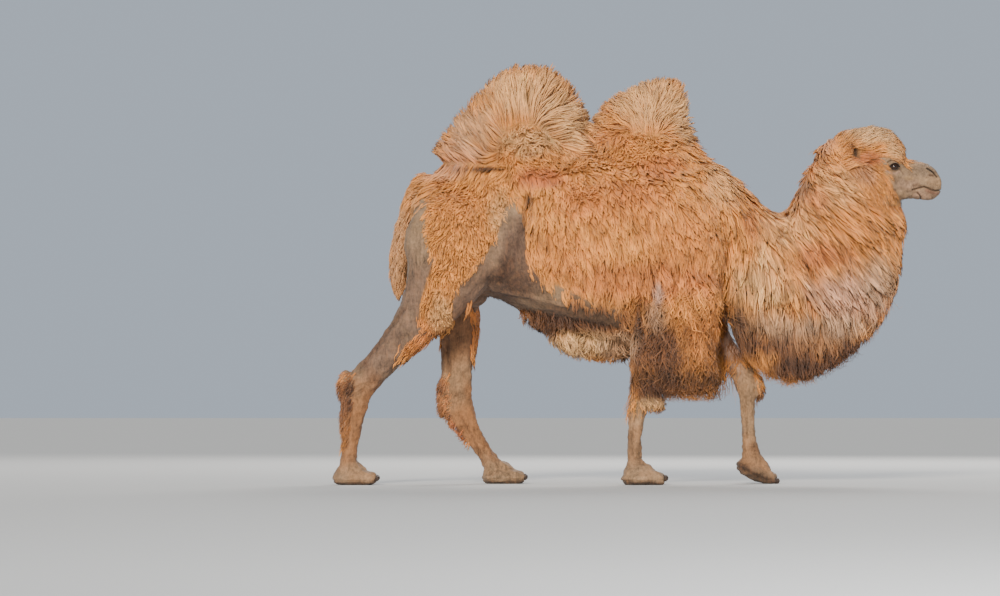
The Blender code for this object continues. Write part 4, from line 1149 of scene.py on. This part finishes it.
usual = {
    "area": None,  # anywhere on its solids
    "steps": 4,  # bends along a tuft
    "curl": 0.004,
    "draw": 0.6,  # how far a lock's tips come together
    "stand": 0.3,  # how far a tuft that flows outwards leaves the coat's outside, up to reach
    "reach": 0.016,
    "lift": 0.004,  # of the tips over the coat's outside
    "stray": 0.12,
    "uneven": 0.3,  # in length, from lock to lock
    "flat": 0.55,  # thickness as a share of width
    "dips": 0.3,  # hollows in the coat, and their size in relief
    "relief": 0.09,
    "tint": 0.34,  # from lock to lock
    "lean": 0.42,
    "fade": 0.0,  # how wide the area's edge thins out
    "sides": False,  # a piece to each side
    "bare": False,  # clear of the eyes, lips and soles
    "over": False,  # grows over other kinds
    "skinTone": False,
}
coat = {
    "curls": {
        "nodes": humps + ["trunk"], "area": "curls", "flow": "trunk", "gap": 0.0112, "length": 0.056,
        "width": 0.0082, "steps": 3, "curl": 0.008, "wave": 0.035, "clump": 0.03, "draw": 0.5,
        "stand": 0.5, "lift": 0.01, "stray": 0.9},
    "hump_rear": {
        "nodes": ["hump_rear"], "flow": "rearHump", "gap": 0.0135, "length": 0.135, "width": 0.0092,
        "wave": 0.075, "clump": 0.044, "draw": 0.85, "uneven": 0.8, "flat": 0.42, "reach": 0.017,
        "relief": 0.1, "dips": 0.75, "tint": 0.45},
    "hump_front": {
        "nodes": ["hump_front"], "flow": "frontHump", "gap": 0.0127, "length": 0.1, "width": 0.009,
        "curl": 0.006, "wave": 0.065, "clump": 0.036, "draw": 0.65, "stand": 0.2, "uneven": 0.5,
        "flat": 0.42, "reach": 0.012, "relief": 0.08, "dips": 0.5},
    "thigh": {
        "nodes": thighs + ["trunk"], "area": "thigh", "flow": "thigh", "gap": 0.0103, "length": 0.045,
        "width": 0.0095, "steps": 3, "wave": 0.03, "clump": 0.016, "draw": 0.45, "stand": 0.5,
        "lift": 0.006, "stray": 0.3, "flat": 0.4, "fade": 0.012},
    "trunk": {
        "nodes": ["trunk"], "area": "trunk", "flow": "trunk", "gap": 0.0135, "length": 0.095,
        "width": 0.013, "curl": 0.0042, "wave": 0.052, "clump": 0.04, "draw": 0.62, "flat": 0.34,
        "lean": 0.45, "sides": True},
    "neck": {
        "nodes": ["neck_upper", "neck_lower"], "flow": "neck", "gap": 0.013, "length": 0.14,
        "width": 0.0108, "wave": 0.07, "clump": 0.034, "draw": 0.85, "lift": 0.005, "flat": 0.42,
        "reach": 0.014, "dips": 0.45, "tint": 0.8, "lean": 0.28, "sides": True},
    "beard": {
        "nodes": ["beard"], "flow": "beard", "gap": 0.0135, "length": 0.19, "width": 0.0106, "steps": 5,
        "curl": 0.006, "wave": 0.075, "clump": 0.036, "draw": 0.75, "stand": 0.35, "lift": 0.006,
        "uneven": 0.8, "flat": 0.45, "reach": 0.03, "dips": 0.5, "tint": 0.55, "lean": 0.35},
    "fringe": {
        "nodes": arms, "area": "fringes", "flow": "down", "gap": 0.015, "length": 0.14, "width": 0.0088,
        "curl": 0.018, "wave": 0.07, "clump": 0.032, "draw": 0.5, "stand": 0.5, "lift": 0.006,
        "stray": 0.35, "uneven": 0.9, "reach": 0.022, "tint": 0.7, "lean": 0.3, "sides": True},
    "crown": {
        "nodes": ["head"], "area": "crown", "flow": "crown", "gap": 0.0083, "length": 0.072,
        "width": 0.006, "curl": 0.003, "wave": 0.045, "clump": 0.018, "draw": 0.55, "stand": 0.2,
        "flat": 0.45},
    "cheek": {
        "nodes": ["head"], "area": "neck", "flow": "cheek", "gap": 0.0078, "length": 0.07,
        "width": 0.0056, "curl": 0.003, "wave": 0.045, "clump": 0.02, "lift": 0.003, "flat": 0.45,
        "tint": 0.45, "lean": 0.4},
    "tail": {
        "nodes": ["tail"], "flow": "tail", "gap": 0.0105, "length": 0.065, "width": 0.0068, "wave": 0.04,
        "clump": 0.022, "lift": 0.002, "reach": 0.012},
    "belly": {
        "nodes": ["trunk"], "area": "belly", "flow": "down", "gap": 0.016, "length": 0.085,
        "width": 0.008, "curl": 0.008, "wave": 0.05, "clump": 0.035, "lift": 0.008, "stray": 0.35,
        "reach": 0.03, "fade": 0.02},
    "hocks": {
        "nodes": legs, "area": "shags", "flow": "hock", "gap": 0.0088, "length": 0.046, "width": 0.0052,
        "steps": 3, "curl": 0.006, "wave": 0.03, "clump": 0.014, "stand": 0.8, "lift": 0.006,
        "stray": 0.4, "reach": 0.022, "relief": 0.04, "tint": 0.9, "fade": 0.03},
    "stifles": {
        "nodes": thighs, "area": "stifles", "flow": "stifle", "gap": 0.0105, "length": 0.075,
        "width": 0.0078, "curl": 0.006, "wave": 0.05, "clump": 0.022, "stand": 0.9, "lift": 0.006,
        "reach": 0.045, "fade": 0.02},
    "ears": {
        "nodes": ["ear_left", "ear_right"], "flow": "ear", "gap": 0.0067, "length": 0.026,
        "width": 0.0028, "steps": 3, "curl": 0.001, "wave": 0.03, "clump": 0.01, "draw": 0.4,
        "stand": 0.5, "lift": 0.0015},
    "face": {
        "nodes": ["head", "lower_jaw"], "flow": "face", "gap": 0.008, "length": 0.017, "width": 0.0015,
        "steps": 2, "curl": 0.0004, "wave": 0.02, "clump": 0.006, "draw": 0.2, "lift": -0.0006,
        "lean": 0.8, "bare": True, "skinTone": True},
    "feet": {
        "nodes": feet, "flow": "foot", "gap": 0.012, "length": 0.014, "width": 0.0024, "steps": 2,
        "curl": 0.0006, "wave": 0.02, "clump": 0.01, "draw": 0.3, "lift": -0.0004, "lean": 0.8,
        "bare": True, "skinTone": True},
    "legs": {
        "nodes": legs, "flow": "down", "gap": 0.0165, "length": 0.02, "width": 0.0021, "steps": 2,
        "curl": 0.0008, "wave": 0.03, "clump": 0.012, "draw": 0.3, "stand": 0.2, "lift": 0.0004,
        "lean": 0.85, "skinTone": True},
    "flank": {
        "nodes": ["trunk"], "flow": "flank", "gap": 0.016, "length": 0.034, "width": 0.0026, "steps": 2,
        "curl": 0.001, "wave": 0.03, "clump": 0.014, "draw": 0.4, "stand": 0.2, "lift": 0.0006,
        "lean": 0.85, "skinTone": True},
    "hems": {
        "nodes": arms + ["beard", "neck_lower"], "area": "hems", "flow": "beard", "gap": 0.023,
        "length": 0.15, "width": 0.0036, "steps": 5, "curl": 0.012, "wave": 0.08, "clump": 0.05,
        "draw": 0.3, "stand": 0.9, "lift": 0.012, "stray": 0.35, "reach": 0.055, "tint": 0.5,
        "over": True},
}
extraAreas = {  # smaller places that a kind of wool keeps to
    "fringes": [
        [(-0.12, 1.1), (-0.12, 0.4), (0.46, 0.4), (0.47, 1.1)],
        [(-0.06, 1.1), (-0.06, 0.4), (0.31, 0.4), (0.34, 0.62), (0.38, 0.76), (0.52, 0.86), (0.55, 1.1)]],
    "curls": [
        [(-0.74, 1.64), (-0.71, 1.78), (-0.63, 1.84), (-0.5, 1.81), (-0.4, 1.73), (-0.3, 1.69),
         (-0.26, 1.6), (-0.45, 1.57), (-0.66, 1.57)],
        [(-0.22, 1.72), (-0.12, 1.79), (0.0, 1.8), (0.1, 1.77), (0.18, 1.71), (0.12, 1.64), (-0.05, 1.62),
         (-0.2, 1.65)],
        [(-0.36, 1.52), (-0.22, 1.51), (-0.22, 1.43), (-0.35, 1.44)]],
    "stifles": [
        [(-1.2, 0.73), (-1.15, 0.76), (-1.08, 0.82), (-0.98, 0.8), (-1.05, 0.7), (-1.16, 0.62)],
        [(-0.875, 0.92), (-0.8, 0.92), (-0.78, 0.68), (-0.855, 0.66)]],
    "shags": [
        [(-1.56, 0.61), (-1.43, 0.61), (-1.44, 0.36), (-1.475, 0.2), (-1.56, 0.18)],
        [(-1.06, 0.58), (-0.97, 0.58), (-0.955, 0.36), (-0.865, 0.2), (-0.9, 0.17), (-1.05, 0.3)],
        [(-0.04, 0.49), (0.13, 0.49), (0.13, 0.37), (-0.01, 0.385)],
        [(0.575, 0.63), (0.66, 0.63), (0.66, 0.42), (0.6, 0.42)],
        [(0.48, 0.71), (0.62, 0.67), (0.62, 0.605), (0.47, 0.6)]],
    "hems": [
        [(0.44, 0.8), (0.6, 0.7), (0.85, 0.64), (1.1, 0.72), (1.2, 0.88), (1.28, 1.0), (1.36, 0.95),
         (1.1, 0.45), (0.44, 0.45)],
        [(-0.12, 0.6), (0.46, 0.6), (0.46, 0.4), (-0.12, 0.4)]],
}
shortPlaces = [  # x, z, half length, half height, and how much shorter the coat is there
    (0.02, 1.58, 0.40, 0.14, 0.45), (0.27, 1.86, 0.13, 0.16, 0.45), (0.93, 1.72, 0.07, 0.07, 0.45),
    (-0.30, 1.40, 0.10, 0.08, 0.4), (0.97, 1.58, 0.08, 0.08, 0.3),
]
earRoom = {"ears": 0.015, "crown": 0.021}  # kept clear round the hollow of the ear
growth = {  # the same for every kind
    "lengths": (0.7, 1.2),  # from tuft to tuft, as shares of the kind's own
    "patchy": 0.16,  # more and less in patches of this size
    "patch": 0.16,
    "strayPatch": 0.13,  # the size of a patch that strays the same way
    "rooted": 0.004,  # the least depth of a root, and the greatest under short hair
    "furRooted": 0.006,
    "widths": (0.5, 1.0),  # the least, and how much is left to chance
    "floor": 0.0035,  # the lowest that a tuft comes
}


def areaRoom(points, name):
    outlines = extraAreas.get(name) or [woolAreas[name]["outline"]]
    rooms = [insideBy(points, outline) for outline in outlines]
    if name == "fringes":  # one outline to each side
        return np.where(points[:, 1] < 0, *rooms)
    return np.max(rooms, axis=0)


def bareRoom(points):  # how far from the eyes, mouth, nostrils and soles, in metres
    gap = [np.linalg.norm(points - eyePlace(side)[0], axis=1) - 0.030 for side in eyeNodes]
    gap += [fromLine(points, folds[name][0])[0] - 0.010 for name in ("mouth", "nostril")]
    return np.min(gap + [points[:, 2] - 0.030], axis=0)


def buildCoat():
    draw = np.random.default_rng(11)
    owner = nodeAtPoints(outPoints)
    say("roots sorted")
    taken = np.zeros(len(outPoints), bool)
    ragged = 0.010 * ripple(outPoints, 0.05, 3)
    for name, entry in coat.items():
        kind = {**usual, **entry}
        here = np.isin(owner, [fleshNodes.index(n) for n in kind["nodes"]])
        if kind["area"]:
            fade = kind["fade"] * draw.random(len(here))
            here &= areaRoom(outPoints, kind["area"]) + ragged > fade
        if kind["bare"]:
            here &= bareRoom(outPoints) > 0
        if name in earRoom:
            here &= fromLine(outPoints, folds["earCup"][0])[0] > earRoom[name]
        if not kind["over"]:
            here &= ~taken
            taken |= here
        kept = draw.random(len(here)) < (outer["spacing"] / kind["gap"]) ** 2
        chosen = np.nonzero(here & kept)[0]
        draw.shuffle(chosen)
        if kind["sides"]:
            right = outPoints[chosen, 1] < 0
            growCoat(name + "_right", kind, chosen[right], draw)
            growCoat(name + "_left", kind, chosen[~right], draw)
        else:
            growCoat(name, kind, chosen, draw)


def lockOf(roots, kind):  # the tuft that each tuft's lock is drawn to
    middles = min(len(roots), max(3, int(len(roots) * (kind["gap"] / kind["clump"]) ** 2)))
    tree = kdtree.KDTree(middles)
    for i in range(middles):
        tree.insert(roots[i], i)
    tree.balance()
    return np.array([tree.find(p)[1] for p in roots.tolist()])


def marched(kind, place, normal, length, depth, layer, sway):  # over the coat's outside, root to tip
    steps, guides = kind["steps"], flows[kind["flow"]]
    step = (length / steps)[:, None]
    paths, normals, lift = [], [], np.zeros(place.shape)
    for k in range(steps + 1):
        t = k / steps
        height = -(depth + 0.002) * (1 - t) ** 1.5 + layer * t
        paths.append(place + normal * height[:, None] + lift)
        normals.append(normal)
        if k == steps:
            break
        way = unit(flowAt(place, guides) + sway * (0.5 + t))
        outward = dot(way, normal)
        lift = lift + way * np.maximum(outward, 0) * step * kind["stand"]
        lift *= np.minimum(1, kind["reach"] / np.maximum(np.linalg.norm(lift, axis=1, keepdims=True), 1e-6))
        place, normal = onOutside(place + (way - outward * normal) * step)
    paths, normals = np.stack(paths, 1), np.stack(normals, 1)
    if steps > 2:  # bends eased
        paths[:, 1:-1] = 0.5 * paths[:, 1:-1] + 0.25 * (paths[:, :-2] + paths[:, 2:])
    return paths, normals


def drawnTogether(kind, paths, tangent, lock):  # neighbouring tufts meet in locks towards their tips
    share = np.linspace(0, 1, kind["steps"] + 1)
    pull = paths[lock] - paths
    pull -= dot(pull, tangent) * tangent
    far = np.linalg.norm(pull, axis=2, keepdims=True)
    pull *= np.minimum(1, 1.5 * kind["clump"] / np.maximum(far, 1e-6))
    return paths + pull * (kind["draw"] * share**1.2)[None, :, None]


def crimped(kind, paths, tangent, normals, length, lockChance, chance):  # in step within a lock
    share = np.linspace(0, 1, kind["steps"] + 1)
    across = unit(np.cross(tangent, normals))
    phase = 2 * math.pi * (share[None] * length[:, None] / kind["wave"] + lockChance[:, None])
    phase += (chance[:, None] - 0.5) * 1.5
    swing = kind["curl"] * share[None] ** 0.6 * (0.6 + 0.8 * lockChance[:, None])
    paths = paths + across * (swing * np.sin(phase))[..., None]
    return paths + normals * (swing * 0.5 * np.cos(phase))[..., None]


def growCoat(name, kind, roots, draw):
    count = len(roots)
    root, rootNormal = onOutside(outPoints[roots] + draw.uniform(-0.5, 0.5, (count, 3)) * kind["gap"])
    lock = lockOf(root, kind)
    lockChance = draw.random(count)[lock]
    length = kind["length"] * draw.uniform(*growth["lengths"], count)
    length = length * (1 + growth["patchy"] * ripple(root, growth["patch"], 21))
    length *= 1 + kind["uneven"] * (lockChance - 0.5)
    for x, z, wide, high, cut in shortPlaces:
        length *= 1 - cut * np.exp(-((root[:, 0] - x) / wide) ** 2 - ((root[:, 2] - z) / high) ** 2)
    depth = np.minimum(np.maximum(coatDepth(root), growth["rooted"]), 0.75 * length)
    if kind["skinTone"]:
        depth = np.minimum(depth, growth["furRooted"])
    sway = np.stack([ripple(root, growth["strayPatch"], 30 + i) for i in range(3)], 1) * kind["stray"]
    sway += draw.normal(size=(count, 3)) * kind["stray"] * 0.45
    layer = kind["lift"] - draw.random(count) * 0.3 * depth
    layer += np.minimum(kind["dips"] * depth * ripple(root, kind["relief"], 44), 0.004)
    paths, normals = marched(kind, root, rootNormal, length, depth, layer, sway)
    tangent = unit(np.gradient(paths, axis=1))
    paths = drawnTogether(kind, paths, tangent, lock)
    chance = draw.random(count)
    paths = crimped(kind, paths, tangent, normals, length, lockChance, chance)
    paths[..., 2] = np.maximum(paths[..., 2], growth["floor"])
    least, more = growth["widths"]
    widths = kind["width"] * (least + more * draw.random(count) ** 1.4)
    tone = skinColour if kind["skinTone"] else woolColour
    colours = tone(paths.reshape(-1, 3)).reshape(paths.shape)
    tint = 1 + kind["tint"] * (lockChance - 0.5)
    mesh = coatMesh("coat_" + name, paths, normals, widths, kind["flat"], root - rootNormal * depth[:, None],
                    chance, np.clip(colours * tint[:, None, None], 0, 1), kind["lean"])
    addPiece("coat_" + name, mesh, furFinish if kind["skinTone"] else woolFinish)
    say(f"coat_{name}: {count} tufts, {triangleCount(mesh)} triangles")


buildCoat()
bpy.data.objects.remove(outside)


# Eyes, lashes and nails

lashes = {  # from and to in half turns round the opening, how many, length, how far they droop
    "upper": (0.04, 0.94, 110, 0.021, -0.55),
    "lower": (1.12, 1.90, 50, 0.011, -0.1),
}
lashWidth = 0.0010


def buildEye(side):
    centre, radius = eyePlace(side)
    along, up, look = eyeAxes(side)
    bm = bmesh.new()
    turned = Matrix([list(along) + [0], list(up) + [0], list(look) + [0], [0, 0, 0, 1]]).transposed()
    if turned.determinant() < 0:
        turned = turned @ Matrix.Scale(-1, 4, (1, 0, 0))
    bmesh.ops.create_uvsphere(bm, u_segments=eye["segments"], v_segments=eye["rings"], radius=radius,
                              matrix=Matrix.Translation(centre) @ turned)
    for v in bm.verts:
        offset = np.array(v.co) - centre
        a, b, out = offset @ along, offset @ up, offset @ look
        if out > 0:
            v.co += Vector(look) * eye["bulge"] * max(0.0, 1 - (a * a + b * b) / eye["iris"] ** 2) ** 1.5
    bmesh.ops.recalc_face_normals(bm, faces=bm.faces)
    name = eyeNodes[side]
    mesh = meshOf(bm, name + "_ball")
    offset = pointsOf(mesh) - centre
    a, b = offset @ along, offset @ up
    reach = np.maximum(np.hypot(a, b), 1e-6)
    behind = np.where(offset @ look > 0, 0.0, 0.03)  # keeps the iris off the back
    writeFloat(mesh, "gazeAcross", a + behind)
    writeFloat(mesh, "gazeUp", b)
    writeValues(mesh, "gazeWay", "FLOAT_VECTOR", "vector", np.stack((a / reach, b / reach, reach * 30), 1))
    mesh.shade_smooth()
    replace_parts(addPiece(name + "_ball", mesh, eyeFinish), name)


def buildLashes():
    draw = np.random.default_rng(5)
    share = np.linspace(0, 1, 5)[:, None]
    paths, normals = [], []
    for side in eyeNodes:
        _, radius = eyePlace(side)
        along, up, look = eyeAxes(side)
        for start, stop, count, length, droop in lashes.values():
            for k in range(count):
                turn = math.pi * (start + (stop - start) * (k + draw.uniform(-0.4, 0.4)) / (count - 1))
                root = lidPoint(side, turn, radius + 0.0032, draw.uniform(0.0014, 0.0034))
                spread = along * math.cos(turn) * 0.7 + up * math.sin(turn) * 0.45
                first = unit(look * 0.9 + spread + draw.normal(size=3) * 0.10)
                reach = length * draw.uniform(0.75, 1.15) * (0.65 + 0.35 * abs(math.sin(turn)))
                paths.append(root - first * 0.002 + reach * (share * first + share**2 * up * droop))
                normals.append(np.tile(up, (5, 1)))
    paths, normals = np.array(paths), np.array(normals)
    count = len(paths)
    colours = np.tile(linear(palette["bark"]) * 0.7, (count, 5, 1))
    mesh = coatMesh("lashes", paths, normals, np.full(count, lashWidth), 1.0, paths[:, 0],
                    draw.random(count), colours)
    addPiece("lashes", mesh, woolFinish)


eyeFinish = makeEyeFinish()
for side in eyeNodes:
    buildEye(side)
buildLashes()
nailFinish = makeNailFinish()
for name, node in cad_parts.items():
    if name.startswith("nail"):
        node.data.materials.clear()
        node.data.materials.append(nailFinish)
say("eyes, lashes and nails")


# The skin's colours: its own markings and painted shade where it is bare, and the wool's under the coat,
# made lighter as painted light in the gaps between the tufts

def dressSkin(mesh):
    points = pointsOf(mesh)
    cover = np.clip(coatDepth(points) / 0.012, 0, 1)
    # the ear's hollow keeps the skin's painted shade, not the wool's colour
    cover = (cover * (1 - foldAmount(points, folds["earCup"][0], 0.020)))[:, None]
    # lighter than the wool: painted light that lifts the shade in the gaps between the tufts
    under = np.minimum(woolColour(points) * 1.15, 1)
    writeFloat(mesh, "streaks", 1 - 0.85 * smoothStep(1.25, 1.40, points[:, 2]))
    writeColour(mesh, "markingAndShade", skinColour(points) * (1 - cover) + under * cover)
    mesh.shade_smooth()
    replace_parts(addPiece("skin", mesh, skinFinish), *fleshNodes)


dressSkin(skinMesh)

# Floor, light and camera

studio = {
    "camera": (-0.714, -18.0, 0.352),
    "aim": (-0.714, 0.0, 0.949),
    "lens": 127.06,
    "key": ((-1.9, -9.0, 4.3), 4.9, (1.0, 0.92, 0.80)),  # place, strength, tint
    "soft": 0.22,  # how wide the key light is, in radians
    "fill": ((2.6, -12.0, 1.4), 5.0, 620.0, (0.94, 0.97, 1.0)),  # place, size, power, tint
    "back": ((2.0, 9.0, 7.0), 5.0, 900.0, (1.0, 0.98, 0.96)),
    "lampAim": (0.0, 0.0, 1.1),
    "sky": ((0.72, 0.82, 0.95), 0.60),
    "floor": 400.0,
    "paint": (0.56, 0.55, 0.53, 1.0),
}


def aimed(name, data, place, at):
    obj = bpy.data.objects.new(name, data)
    obj.location = place
    obj.rotation_euler = (Vector(at) - Vector(place)).to_track_quat("-Z", "Y").to_euler()
    bpy.context.scene.collection.objects.link(obj)
    return obj


def buildStudio():
    bm = bmesh.new()
    bmesh.ops.create_grid(bm, x_segments=1, y_segments=1, size=studio["floor"])
    floor = addObject("floor", meshOf(bm, "floor"))
    look = Finish("floorPaint", 0.85, specular=0.2)
    look.feed("Base Color", studio["paint"])
    floor.data.materials.append(look.material)
    place, strength, tint = studio["key"]
    lamp = bpy.data.lights.new("key", "SUN")
    lamp.energy, lamp.color, lamp.angle = strength, tint, studio["soft"]
    aimed("key", lamp, place, studio["lampAim"])
    for name in ("fill", "back"):
        place, size, power, tint = studio[name]
        lamp = bpy.data.lights.new(name, "AREA")
        lamp.size, lamp.energy, lamp.color = size, power, tint
        aimed(name, lamp, place, studio["lampAim"])
    world = bpy.data.worlds.new("studio")
    bpy.context.scene.world = world
    world.use_nodes = True
    tint, strength = studio["sky"]
    world.node_tree.nodes["Background"].inputs[0].default_value = (*tint, 1.0)
    world.node_tree.nodes["Background"].inputs[1].default_value = strength
    camera = bpy.data.cameras.new("camera")
    camera.lens, camera.sensor_width = studio["lens"], 36.0
    camera.clip_end = 900.0
    bpy.context.scene.camera = aimed("camera", camera, studio["camera"], studio["aim"])


buildStudio()
say("studio ready")
